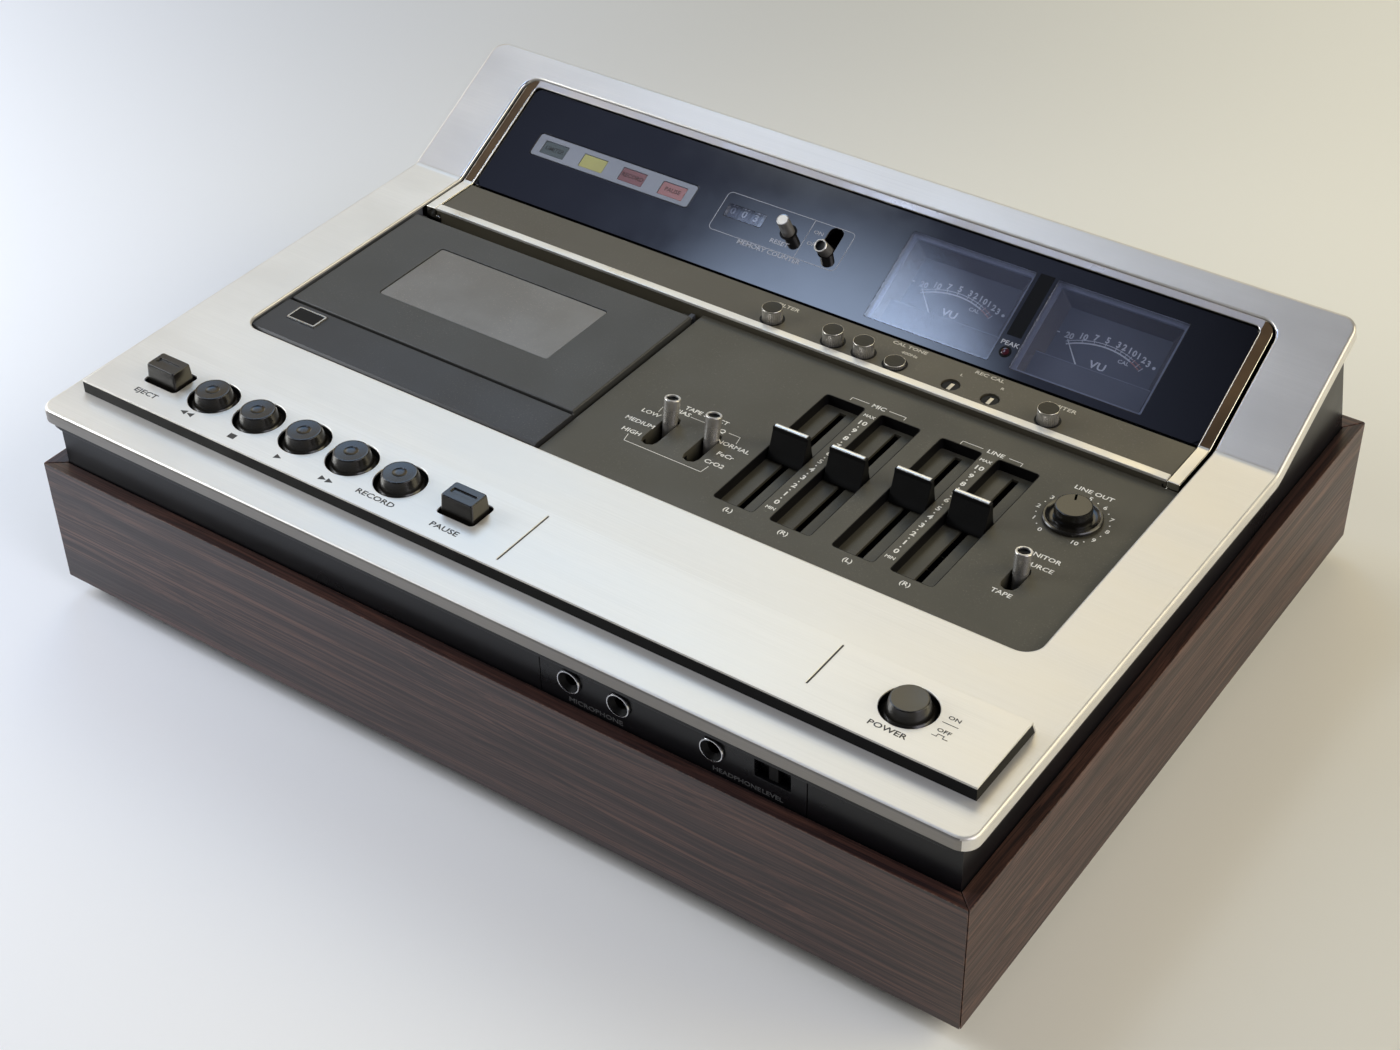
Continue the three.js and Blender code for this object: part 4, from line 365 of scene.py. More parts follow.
def buildFigure():
    tree, where, out = newGroup("woodFigure", "Vector", (0, 0, 0), "Bands", "Streaks", "Pores")
    drift = noise(tree, scaled(tree, where, 1.0, (5, 30, 30)), 2, 0.5)  # the first axis runs with the grain
    bent = combineVectors(tree, "ADD", where, scaleVector(tree, (0, 0.011, 0.011), drift))
    for label, stretch, detail, rough, low, high in (("Bands", (2.6, 190, 190), 4, 0.62, 0.34, 0.66),
                                                     ("Streaks", (7, 900, 900), 4, 0.7, 0.35, 0.68),
                                                     ("Pores", (60, 3200, 3200), 2, 0.6, 0.58, 0.7)):
        drawn = noise(tree, scaled(tree, bent, 1.0, stretch), detail, rough)
        tree.links.new(spread(tree, drawn, low, high), out[label])
    return tree


effects = {"brush": buildBrush(), "grain": buildGrain(), "wear": buildWear(),
           "dust": buildDust(), "figure": buildFigure()}


def effect(tree, name, **values):
    node = tree.nodes.new("ShaderNodeGroup")
    node.node_tree = effects[name]
    for label, value in values.items():
        node.inputs[label.replace("_", " ")].default_value = value
    return node.outputs


def mixColour(tree, amount, first, second):
    return addNode(tree, "ShaderNodeMix", [(0, amount), (6, first), (7, second)], data_type="RGBA").outputs[2]


def newFinish(name, **plain):
    material = bpy.data.materials.new(name)
    material.use_nodes = True
    finishes[name] = material
    skin = material.node_tree.nodes["Principled BSDF"]
    for label, value in plain.items():
        skin.inputs[label.replace("_", " ")].default_value = value
    return material.node_tree, skin


def roughness(tree, skin, value, low, high):
    ranged = addNode(tree, "ShaderNodeMapRange", [("Value", value), ("To Min", low), ("To Max", high)])
    tree.links.new(ranged.outputs[0], skin.inputs["Roughness"])


def bump(tree, skin, height, strength, distance):
    links = [("Height", height), ("Strength", strength), ("Distance", distance * mm)]
    tree.links.new(addNode(tree, "ShaderNodeBump", links).outputs[0], skin.inputs["Normal"])


def brushedMetal(name, light, dark, rough, streaks):
    tree, skin = newFinish(name, Metallic=0.6, Specular_IOR_Level=0.2)
    lines = effect(tree, "brush")
    base = mixColour(tree, lines["Streak"], dark, light)
    base = mixColour(tree, lines["Cloud"], times(dark, 0.93), base)
    tree.links.new(base, skin.inputs["Base Color"])
    roughness(tree, skin, lines["Cloud"], rough - 0.035, rough + 0.035)
    bump(tree, skin, lines["Streak"], streaks, 0.012)


def plastic(name, colour, rough, grain=2200.0, lift=0.25, dust=0.25, worn=None, coat=0.0, metal=0.0,
            fleck=1.22, specular=0.5):
    tree, skin = newFinish(name, Coat_Weight=coat, Coat_Roughness=0.1, Metallic=metal,
                           Specular_IOR_Level=specular)
    skinGrain = effect(tree, "grain", Grains_per_metre=grain)
    base = mixColour(tree, skinGrain["Patch"], colour, times(colour, fleck))
    if worn:
        base = mixColour(tree, effect(tree, "wear")["Worn"], base, worn)
    if dust:
        base = mixColour(tree, effect(tree, "dust", Amount=dust)["Dust"], base, tone(168, 160, 148))
    tree.links.new(base, skin.inputs["Base Color"])
    roughness(tree, skin, skinGrain["Patch"], rough * 0.88, rough * 1.15)
    bump(tree, skin, skinGrain["Grain"], lift, 0.02)


def polished(name, colour, rough, metal=1.0):
    tree, skin = newFinish(name, Metallic=metal)
    skinGrain = effect(tree, "grain", Grains_per_metre=900.0)
    tree.links.new(mixColour(tree, skinGrain["Patch"], times(colour, 0.8), colour), skin.inputs["Base Color"])
    roughness(tree, skin, skinGrain["Patch"], rough * 0.7, rough * 1.6)
    bump(tree, skin, skinGrain["Grain"], 0.05, 0.01)


def wood(name, turn, gloss):
    tree, skin = newFinish(name, Coat_Weight=gloss, Coat_Roughness=0.28)
    lie = addNode(tree, "ShaderNodeMapping", [("Vector", objectPlace(tree)), ("Rotation", (0, 0, turn))])
    figure = effect(tree, "figure")
    tree.links.new(lie.outputs[0], tree.nodes[-1].inputs["Vector"])
    base = mixColour(tree, figure["Bands"], tone(50, 31, 29), tone(104, 70, 58))
    base = mixColour(tree, figure["Streaks"], tone(38, 24, 24), base)
    base = mixColour(tree, figure["Pores"], base, tone(30, 18, 18))
    base = mixColour(tree, effect(tree, "wear", Width=0.0007)["Worn"], base, tone(140, 104, 84))
    tree.links.new(base, skin.inputs["Base Color"])
    roughness(tree, skin, figure["Streaks"], 0.5, 0.38)
    bump(tree, skin, figure["Streaks"], 0.35, 0.03)


def printed(name, colour, rough=0.5):
    tree, skin = newFinish(name)
    ink = effect(tree, "grain", Grains_per_metre=1800.0)
    tree.links.new(mixColour(tree, ink["Grain"], times(colour, 0.82), colour), skin.inputs["Base Color"])
    roughness(tree, skin, ink["Patch"], rough, rough + 0.1)


brushedMetal("topMetal", tone(233, 230, 223), tone(226, 223, 216), 0.4, 0.08)
brushedMetal("plateMetal", tone(235, 232, 225), tone(226, 223, 216), 0.38, 0.1)
# The sheet's front rim gets this darker grey copy of its metal: painted shade
brushedMetal("rimShadedGrey", tone(150, 146, 140), tone(138, 134, 129), 0.4, 0.1)
# The sheet's slope gets this copy of its metal, painted in darker shade and made less rough
brushedMetal("slopeMetalShaded", tone(222, 216, 206), tone(215, 209, 199), 0.32, 0.12)
brushedMetal("knobTop", tone(96, 94, 88), tone(70, 68, 63), 0.4, 0.4)
brushedMetal("buttonFace", tone(66, 64, 58), tone(44, 43, 40), 0.34, 0.5)
polished("trimMetal", tone(244, 240, 228), 0.09)
polished("trimSatin", tone(238, 234, 224), 0.36, 0.65)
# The trim's rear band: the satin trim metal painted in darker shade
polished("rearSatinShaded", tone(196, 190, 188), 0.36, 0.65)
polished("chrome", tone(214, 214, 216), 0.12)
polished("satinChrome", tone(206, 203, 198), 0.26, 0.8)
polished("ridgeMetal", tone(244, 242, 236), 0.25, 0.6)
polished("buttonMetal", tone(190, 187, 180), 0.28, 0.8)
plastic("zinc", tone(120, 122, 126), 0.45, metal=0.6)
# Painted reflection: dark brown with flecks for the brown room mirrored in the trim's side bands up the slope
plastic("channelBrownReflection", tone(66, 50, 30), 0.5, 1500.0, 0.5, dust=0, fleck=2.2, specular=0.2)
plastic("bodyBlack", tone(15, 15, 18), 0.3, 1700.0, 0.2, dust=0.08, worn=tone(40, 39, 39), specular=0.3)
plastic("keyBlack", tone(20, 18, 15), 0.24, 1400.0, 0.02, dust=0.12, specular=0.6)
plastic("capBlack", tone(8, 8, 8), 0.5, 1800.0, 0.1, dust=0.05, specular=0.25)
plastic("sideBlack", tone(10, 9, 9), 0.5, 1800.0, 0.1, dust=0, specular=0.15)
plastic("barBlack", tone(14, 14, 16), 0.5, 1500.0, 0.03, dust=0, specular=0.1)
plastic("wheelBlack", tone(56, 60, 72), 0.4, 1500.0, 0.08)
plastic("olive", tone(69, 66, 55), 0.46, 2400.0, 0.14, fleck=1.05)
plastic("stripOlive", tone(74, 69, 56), 0.42, 2400.0, 0.1, fleck=1.05)
plastic("lidGrey", tone(56, 56, 54), 0.44, 2400.0, 0.16, worn=tone(105, 104, 100), fleck=1.06)
plastic("lidGlass", tone(104, 104, 103), 0.22, 1500.0, 0.05, dust=0.5)
plastic("coverGrey", tone(38, 38, 40), 0.42, 2400.0, 0.14, worn=tone(96, 95, 92), fleck=1.08)
plastic("frameGrey", tone(120, 124, 134), 0.35, 1500.0, 0.1)
plastic("meterCase", tone(62, 56, 52), 0.25, 1500.0, 0.06, dust=0.4)
plastic("lipGrey", tone(126, 131, 146), 0.3, 1500.0, 0.05, dust=0.3)
plastic("dialFace", tone(78, 80, 86), 0.55, 1500.0, 0.05, dust=0.1, fleck=1.08)
plastic("white", tone(226, 224, 216), 0.4, 1500.0, 0.05)
plastic("needleWhite", tone(232, 232, 228), 0.4, 1500.0, 0.03, dust=0)
plastic("lampRed", tone(58, 18, 28), 0.2, 1500.0, 0.02, coat=0.5, dust=0)
wood("woodX", 0.0, 0.25)
wood("woodY", math.pi / 2, 0.06)
for name, colour in {"creamInk": (238, 236, 226), "stripInk": (206, 200, 182), "darkInk": (58, 56, 54),
                     "dimInk": (108, 108, 108), "redInk": (196, 132, 116), "glassInk": (176, 178, 186),
                     "dialInk": (246, 246, 246)}.items():
    printed(name, tone(*colour))
print("finishes ready")


# CAD nodes that keep their shape, with softened edges and a finish

def keep(node, finish, edge=0.25, angle=40):
    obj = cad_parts[node]
    paint(obj, finish)
    weld = obj.modifiers.new("weld", "WELD")
    weld.merge_threshold = 0.00001
    if node != "control_panel":
        flat = obj.modifiers.new("flat", "DECIMATE")
        flat.decimate_type = "DISSOLVE"
        flat.angle_limit = math.radians(0.6)
    if edge:
        soften(obj, edge, 2, angle)
    obj.modifiers.new("split", "EDGE_SPLIT").split_angle = math.radians(34)
    obj.modifiers.new("normals", "WEIGHTED_NORMAL")


keptNodes = {
    "case_front": ("woodX", 0.4), "case_back": ("woodX", 0.4),
    "case_left": ("woodY", 0.4), "case_right": ("woodY", 0.4),
    "base_plate": ("bodyBlack", 0), "body_shell": ("bodyBlack", 0.25), "socket_plate": ("bodyBlack", 0),
    "jack_plate": ("bodyBlack", 0.2), "headphone_level_slide": ("sideBlack", 0.25),
    "power_transformer": ("zinc", 0.6), "transport_chassis": ("zinc", 0), "control_panel": ("olive", 0.2),
    "switch_strip": ("stripOlive", 0.12), "step_bar": ("trimSatin", 0.3), "cassette_lid": ("lidGrey", 0.3),
    "head_cover": ("coverGrey", 0.25),
    "spindle_supply": ("white", 0.1), "spindle_takeup": ("white", 0.1), "lid_window": ("lidGlass", 0.1),
    "indicator_frame": ("frameGrey", 0.15), "counter_frame": ("zinc", 0),
}
for node, (finish, edge) in keptNodes.items():
    keep(node, finish, edge)
print("kept nodes dressed")


# Metal top: one sheet, flat and then up the slope; the key plate stands on it

topSheet = {"halfWidth": 218.0, "frontY": -162.0, "slopeLength": 75.0, "cornerRadius": 7.0, "thickness": 1.5,
            "rimDepth": 5.6, "openingHalf": 190.4, "openingFrontY": -70.6, "openingRear": 62.0,
            "openingRadius": 8.0, "edgeRound": 1.5, "hollow": 9.0}
keyRow = {"y": -123.0, "holeRadius": 10.7, "rounds": [-155.3 + 24.7 * i for i in range(5)], "power": 170.8,
          "squares": [-179.7, -24.3], "squareWide": 18.0, "squareDeep": 14.2, "squareRadius": 2.0}


def keyHoles(low, high):
    k = keyRow
    outlines = [circle(k["holeRadius"], 56, x, k["y"]) for x in k["rounds"] + [k["power"]]]
    for x in k["squares"]:
        outlines.append(rounded(k["squareWide"], k["squareDeep"], k["squareRadius"], x=x, y=k["y"]))
    return [prism("hole", outline, low, high) for outline in outlines]


def buildTop():
    t, top, kink = topSheet, deck["panelTop"], deck["kinkY"]
    half, rear, wall = t["halfWidth"], kink + t["slopeLength"], t["thickness"]
    outline = roundRect(-half, half, t["frontY"], rear, t["cornerRadius"], 14)
    sheet = prism("topPanel", outline, top - t["rimDepth"], top)
    hollow = prism("hollow", roundRect(-half + wall, half - wall, t["frontY"] + wall, rear - wall,
                                       t["cornerRadius"] - wall, 14), top - t["rimDepth"] - 3, top - wall)
    outline = roundRect(-t["openingHalf"], t["openingHalf"], t["openingFrontY"], kink + t["openingRear"],
                        t["openingRadius"], 12)
    opening = prism("opening", outline, top - t["hollow"], top + 3)
    carve(sheet, [hollow, opening] + keyHoles(top - t["hollow"], top + 3))

    def rule(p):
        if abs(p.z - top) > 0.01:
            return 0.0
        if abs(p.x) > half - t["cornerRadius"] - 1 and abs(p.x) > t["openingHalf"] + 5:
            return 1.0
        if p.y < t["frontY"] + 2 or p.y > rear - 2:
            return 1.0
        return 0.6 if p.y > t["openingFrontY"] - 1 else 0.15
    softenBy(sheet, t["edgeRound"], rule)
    fold(sheet)
    paint(sheet, "topMetal", "slopeMetalShaded", "rimShadedGrey", "chrome")
    for face in sheet.data.polygons:
        normal, y = face.normal, face.center.y / mm
        fromSide = abs(abs(face.center.x / mm) - t["openingHalf"])
        upSlope = y > kink + 0.5
        if upSlope and fromSide < 1.2 and abs(normal.x) > 0.12 and normal.z > 0.1:
            face.material_index = 3  # bright-cut edge of the opening
        # the slope of the same sheet: its metal painted in darker shade
        elif upSlope and normal.z > 0.5:
            face.material_index = 1
        # the front rim face of the same sheet: its metal painted darker grey as painted shade
        elif normal.y < -0.75 and y < t["frontY"] + 0.6:
            face.material_index = 2
    seat(shade(sheet), "deck", "top_aluminium", "top_panel")


keyPlate = {"halfWidth": 209.3, "frontY": -143.8, "backY": -103.4, "lean": 2.7, "low": deck["panelTop"],
            "high": deck["plateTop"], "skin": 0.9, "lines": [(4.3, -139.5, -108.5), (135.2, -132.3, -108.5)],
            "lineWidth": 0.7}


def buildKeyPlate():
    k = keyPlate
    seam = k["high"] - k["skin"]
    lean = k["lean"] * (1 - k["skin"] / (k["high"] - k["low"]))
    front, back, half = k["frontY"], k["backY"], k["halfWidth"]
    inner, low, high = back - 1, k["low"], k["high"]
    foot = [(front, low), (inner, low), (inner - lean, seam), (front, seam)]
    base = alongX("keyPlateBase", foot, -half, half)
    skin = alongX("keyPlateSkin", [(front, seam), (inner - lean, seam), (inner, low), (back, low),
                                   (back - k["lean"], high), (front, high)], -half, half)
    carve(base, keyHoles(k["low"] - 2, k["high"] + 2))
    grooves = [prism("groove", roundRect(x - k["lineWidth"] / 2, x + k["lineWidth"] / 2, front, back, 0.2, 2),
                     k["high"] - 0.35, k["high"] + 1) for x, front, back in k["lines"]]
    carve(skin, keyHoles(k["low"] - 2, k["high"] + 2) + grooves)
    paint(base, "sideBlack")
    paint(skin, "plateMetal")
    seat(shade(soften(skin, 0.22, 2)), "deck", "top_aluminium", "key_plate")
    seat(shade(base), "deck", "key_black")
    for i, (x, front, back) in enumerate(k["lines"]):
        line = prism("plateLine%d" % i, roundRect(x - 0.33, x + 0.33, front + 0.05, back - 0.05, 0.15, 2),
                     k["high"] - 0.34, k["high"] - 0.1)
        seat(paint(line, "darkInk"), "deck", "key_black")


buildTop()
buildKeyPlate()
print("top and key plate done")

# Keys

roundKeyShape = {"names": ["rewind", "stop", "play", "forward", "record"], "stem": (4.0, -25.0),
                 "skirt": (9.9, -3.4), "top": (6.65, 4.2), "bevel": 0.45, "waist": (8.4, -0.5),
                 "dimple": (2.5, 0.22)}


def roundKeyProfile(dimpled):
    k = roundKeyShape
    (stemR, stemZ), (skirtR, skirtZ), (topR, topZ), b = k["stem"], k["skirt"], k["top"], k["bevel"]
    waistR, waistZ = k["waist"]
    profile = [(0, stemZ), (stemR, stemZ), (stemR, skirtZ), (skirtR - 0.3, skirtZ), (skirtR, skirtZ + 0.3),
               (skirtR, skirtZ + 1.3), (skirtR - 0.2, skirtZ + 1.5), (waistR + 0.3, waistZ - 0.7),
               (waistR, waistZ), (topR + b, topZ - b)]
    turns = [t * math.pi / 8 for t in range(1, 4)]
    profile += [(topR + b * math.cos(turn), topZ - b + b * math.sin(turn)) for turn in turns]
    profile.append((topR, topZ))
    dimpleR, sink = k["dimple"]
    if dimpled:
        profile += [(topR - 0.5, topZ), (dimpleR + 0.5, topZ - 0.12), (dimpleR + 0.35, topZ - 0.06),
                    (dimpleR, topZ - sink), (dimpleR * 0.5, topZ - sink * 1.25), (0, topZ - sink * 1.3)]
    else:
        profile += [(topR - 0.4, topZ - 0.02), (topR * 0.5, topZ - 0.1), (0, topZ - 0.12)]
    return profile


def buildRoundKeys():
    names = [(name, "key", "Key", x) for name, x in zip(roundKeyShape["names"], keyRow["rounds"])]
    for name, kind, ending, x in names + [("power", "button", "Knob", keyRow["power"])]:
        place = at(onDeck, x, keyRow["y"], deck["plateTop"])
        key = paint(turned(name + ending, roundKeyProfile(kind == "key"), place), "keyBlack")
        node = "key_" + name if kind == "key" else name + "_button"
        seat(shade(key, 40), name + "_key", "key_black", node)


squareKeyShape = {"base": (16.8, 12.9, -3.4), "rim": (16.8, 12.9, -2.6), "foot": (15.9, 10.9, -1.6),
                  "shoulder": (15.2, 9.6, 6.8), "top": (14.6, 9.0, 7.4), "groove": (11.4, 2.6, 0.7),
                  "stem": (4.0, -25.0)}


def buildSquareKeys():
    k = squareKeyShape
    for name, x in zip(["eject", "pause"], keyRow["squares"]):
        place = at(onDeck, x, keyRow["y"], deck["plateTop"])
        levels = (k["base"], k["rim"], k["foot"], k["shoulder"], k["top"])
        cap = loft("cap", [raised(rounded(wide, deep, 0.9, 4), z) for wide, deep, z in levels], place)
        wide, deep, sink = k["groove"]
        top = k["top"][2]
        carve(cap, [prism("groove", rounded(wide, deep, 0.5, 4), top - sink, top + 2, place)])
        soften(cap, 0.22, 3, 28)
        stem = prism("stem", circle(k["stem"][0], 24), k["stem"][1], -3.0, place)
        key = merge(name + "Key", [paint(cap, "keyBlack"), paint(stem, "keyBlack")])
        seat(shade(key), name + "_key", "key_black", "key_" + name)


buildRoundKeys()
buildSquareKeys()
print("keys done")

# Bright trim and the smoked panel behind it

trim = {"half": 188.8, "frontY": 47.5, "rear": 61.7, "radius": 6.6, "innerHalf": 183.5, "innerRear": 58.1,
        "innerRadius": 3.0, "topDrop": 0.3, "low": 5.8, "seat": 4.3, "ledge": 2.0, "line": 0.4}


def buildTrim():
    t, top, kink = trim, deck["panelTop"], deck["kinkY"]
    rear = kink + t["rear"]
    outline = roundRect(-t["half"], t["half"], t["frontY"] - 20, rear, t["radius"], 10)
    band = prism("meterTrim", outline, top - t["low"], top - t["topDrop"])
    frontCut = prism("front", [(-300, -100), (300, -100), (300, t["frontY"]), (-300, t["frontY"])],
                     top - 30, top + 30)
    outline = roundRect(-t["innerHalf"], t["innerHalf"], -80, kink + t["innerRear"], t["innerRadius"], 8)
    inner = prism("inner", outline, top - t["seat"], top + 3)
    through = prism("through", roundRect(-t["innerHalf"] + t["ledge"], t["innerHalf"] - t["ledge"], -80,
                                         kink + t["innerRear"] - t["ledge"], 1, 2), top - 12, top + 1)
    carve(band, [frontCut, inner, through])
    soften(band, 0.45, 3, 40)
    bake(band)
    fold(band, 3.0, 5)
    # painted reflection: the bands at the sides up the slope are dark brown for the brown room mirrored in
    # them; satin metal elsewhere, and the rear band is the satin metal painted in darker shade; the rounded
    # edges stay bright
    paint(band, "trimMetal", "channelBrownReflection", "trimSatin", "rearSatinShaded")
    for side in (-1, 1):
        seam = (side * (t["innerHalf"] + 0.05) * mm, 0, 0)
        edit(band, lambda bm: bmesh.ops.bisect_plane(bm, geom=bm.verts[:] + bm.edges[:] + bm.faces[:],
                                                     plane_co=seam, plane_no=(1, 0, 0)))
    for face in band.data.polygons:
        x, y = abs(face.center.x) / mm, face.center.y / mm
        if face.normal.z < 0.5:
            continue
        if t["innerHalf"] + t["line"] < x < t["half"] - t["line"]:
            face.material_index = 1 if y > kink + 2 else 2
        # the rear band gets the satin metal painted in darker shade
        elif y > kink + 40 and x < t["innerHalf"]:
            face.material_index = 3
    seat(shade(band), "deck", "bright_trim", "meter_trim")


smoked = {"half": 183.2, "front": 0.8, "rear": 57.8, "radius": 3.0, "drop": 1.5, "thickness": 2.5,
          "meters": [(56.45, 27.4), (126.35, 27.4)], "window": (59.7, 45.2),
          "counter": (-59.4, -39.8, 27.5, 34.0), "reset": (-26.2, 30.0, 3.5),
          "slot": (-8.8, -1.8, 23.8, 39.5), "lights": (-166.9, -77.6, 24.7, 36.9), "peak": (91.5, 11.1)}


def smokedFinish(name, colour, rough, clear=False):
    tree, skin = newFinish(name, Transmission_Weight=1.0 if clear else 0.0, IOR=1.49, Metallic=0.0,
                           Specular_IOR_Level=0.5)
    smear = effect(tree, "grain", Grains_per_metre=260.0)
    tree.links.new(mixColour(tree, smear["Patch"], colour, times(colour, 1.15)), skin.inputs["Base Color"])
    roughness(tree, skin, smear["Patch"], rough, rough * 2.2)
    if clear:  # lets the room's light through to what lies behind it
        rays = addNode(tree, "ShaderNodeLightPath").outputs
        indirect = combine(tree, "MAXIMUM", rays["Is Shadow Ray"], rays["Is Diffuse Ray"])
        through = addNode(tree, "ShaderNodeBsdfTransparent", [("Color", colour)]).outputs[0]
        mixed = addNode(tree, "ShaderNodeMixShader", [(0, indirect), (1, skin.outputs[0]), (2, through)])
        tree.links.new(mixed.outputs[0], tree.nodes["Material Output"].inputs[0])


def buildSmoked():
    s = smoked
    smokedFinish("smokedBlack", tone(8, 8, 10), 0.04)
    smokedFinish("smokedClear", tone(214, 216, 222), 0.01, True)
    half, front = s["half"], s["front"]
    top, low = -s["drop"], -s["drop"] - s["thickness"]
    sheet = prism("meterPanel", roundRect(-half, half, front, s["rear"], s["radius"]), low, top, onSlope)
    corners = [(-half, front), (half, front), (half, front + 9), (-half, front + 9)]
    squared = prism("front", corners, low, top, onSlope)
    carve(sheet, [squared], "UNION")
    wide, deep = s["window"]
    windows = [(x - wide / 2, x + wide / 2, along - deep / 2, along + deep / 2) for x, along in s["meters"]]
    windows.append(s["counter"])
    openings = [roundRect(*box, 0.6, 3) for box in windows]
    x, along, radius = s["reset"]
    openings += [circle(radius, 40, x, along), roundRect(*s["slot"], 3.2, 8), roundRect(*s["lights"], 1.2, 3)]
    carve(sheet, [prism("window", outline, low - 2, top + 2, onSlope) for outline in openings])
    soften(sheet, 0.18, 2, 50)
    paint(sheet, "smokedBlack")
    seat(shade(sheet), "deck", "meter_glass", "meter_panel")
    for name, (x0, x1, y0, y1) in zip(["paneLeft", "paneRight", "paneCounter"], windows):
        pane = prism(name, roundRect(x0 + 0.02, x1 - 0.02, y0 + 0.02, y1 - 0.02, 0.6, 3), low, top, onSlope)
        seat(paint(pane, "smokedClear"), "deck", "meter_glass")
    place = at(onSlope, *s["peak"], top)
    lamp = turned("peakLamp", [(0, -1.2), (1.8, -1.2), (1.8, 0), (1.6, 0.35), (1.1, 0.55), (0, 0.6)],
                  place, 32)
    seat(shade(paint(lamp, "lampRed")), "deck", "meter_glass")
    ring = turned("peakRing", [(1.85, -0.3), (2.7, -0.3), (2.7, 0.12), (2.5, 0.2), (1.95, 0.2), (1.85, 0.1)],
                  place, 40, True)
    seat(shade(paint(ring, "sideBlack")), "deck", "meter_glass")


buildTrim()
buildSmoked()
print("trim and smoked panel done")

# Lettering and lines are thin solids laid on the surface

inkThickness = 0.06


def letters(text, x, y, height, base, low, wide=1.0, bold=0.02):
    curve = bpy.data.curves.new("letters", "FONT")
    curve.body = text
    curve.size = height / 0.7 * mm
    curve.align_x = "CENTER"
    curve.align_y = "CENTER"
    curve.resolution_u = 2
    curve.extrude = inkThickness / 2 * mm
    curve.offset = bold * height * mm
    drawn = bpy.data.objects.new("letters", curve)
    bpy.context.scene.collection.objects.link(drawn)
    bpy.context.view_layer.update()
    mesh = bpy.data.meshes.new_from_object(drawn.evaluated_get(bpy.context.evaluated_depsgraph_get()))
    bpy.data.objects.remove(drawn)
    mesh.transform(Matrix.Diagonal((wide, 1, 1, 1)))
    obj = bpy.data.objects.new("letters", mesh)
    bpy.context.scene.collection.objects.link(obj)
    obj.matrix_world = at(base, x, y, low + inkThickness / 2)
    return obj


# Each row of words gives the text, its middle and its height
def written(words, base, low, wide):
    return [letters(text, x, y, high, base, low, wide) for text, x, y, high in words]


def shape(outline, x, y, base, low, turn=0.0):
    return prism("shape", outline, 0, inkThickness, at(base, x, y, low, 0, turn))


def dot(x, y, radius, base, low):
    return shape(circle(radius, 12), x, y, base, low)


def stroke(points, width, base, low, closed=False):
    ends = list(points) + ([points[0]] if closed else [])
    parts = []
    for (x0, y0), (x1, y1) in zip(ends, ends[1:]):
        long, half = math.hypot(x1 - x0, y1 - y0), width / 2
        outline = [(-half, -half), (long + half, -half), (long + half, half), (-half, half)]
        parts.append(shape(outline, x0, y0, base, low, math.degrees(math.atan2(y1 - y0, x1 - x0))))
    return parts


def placeMarks(name, parts, ink, slotName):
    for part in parts:
        paint(part, ink)
    seat(merge(name, parts), "deck", slotName)


# Faders, toggles and the output knob

fader = {"places": {"mic_left": (50.4, -13.8), "mic_right": (76.41, -13.1), "line_left": (104.49, -10.6),
                    "line_right": (130.2, -10.7)},
         "low": 80.2, "height": 13.8, "half": 4.25, "wide": 16.5, "ridge": (14.8, 1.8, 0.5, 1.1),
         "stem": (2.4, 5.0, 8.0), "slot": (18.9, 82.2, -13.1, 1.6, 79.5, 84.5), "liner": 0.3, "gap": 0.02}


def buildFaders():
    f = fader
    h, half = f["height"], f["half"]
    front = [(-half, 0), (-half + 0.1, 1.2)]
    front += [(-half + 0.1 + 4.0 * t ** 0.9, 1.2 + (h - 3.0) * t) for t in (0.1, 0.25, 0.45, 0.7, 1.0)]
    front += [(-0.1, h - 1.2), (-0.1, h)]
    back = [(2.3, h), (2.3, h - 1.2), (2.6, h - 3.0), (3.2, 6.0), (half - 0.1, 2.0), (half, 0)]
    wide, deep, rise, middle = f["ridge"]
    corners = ((-0.5, -1), (0.5, -1), (0.5, rise * 0.6), (0.25, rise), (-0.25, rise), (-0.5, rise * 0.6))
    crown = [(middle + share * deep, h + lift) for share, lift in corners]
    stemWide, stemLong, drop = f["stem"]
    for name, (x, y) in f["places"].items():
        place = at(onDeck, x, y, f["low"])
        cap = soften(alongX("cap", back + front, -f["wide"] / 2, f["wide"] / 2, place), 0.3, 3, 30)
        stem = prism("stem", rounded(stemWide, stemLong, 0.4, 3), -drop, 0.5, place)
        ridge = alongX("ridge", crown, -wide / 2, wide / 2, place)
        parts = [paint(cap, "capBlack"), paint(stem, "capBlack"), paint(ridge, "ridgeMetal")]
        seat(shade(merge(name + "Cap", parts)), name + "_fader", "key_black", "fader_" + name)


def lineSlots():
    wide, long, middle, radius, low, high = fader["slot"]
    thin, gap = fader["liner"], fader["gap"]
    for name, (x, _) in fader["places"].items():
        outside = rounded(wide - 2 * gap, long - 2 * gap, radius, 4, x, middle)
        inside = rounded(wide - 2 * thin, long - 2 * thin, radius - thin, 4, x, middle)
        shell = prism(name + "Liner", outside, low + gap, high - 0.12)
        carve(shell, [prism("room", inside, low - 2, high + 2)])
        seat(shade(paint(shell, "sideBlack")), "deck", "key_black")


toggle = {"places": {"bias": (-0.5, -30.25, 10.8, 12.2), "equalizer": (19.7, -30.25, 10.5, 12.2),
                     "monitor": (162.0, -32.05, 9.3, 7.4)},
          "pivot": 28.5, "radius": 3.35, "waist": 2.8, "cup": 2.5, "pin": (1.5, 6.5)}


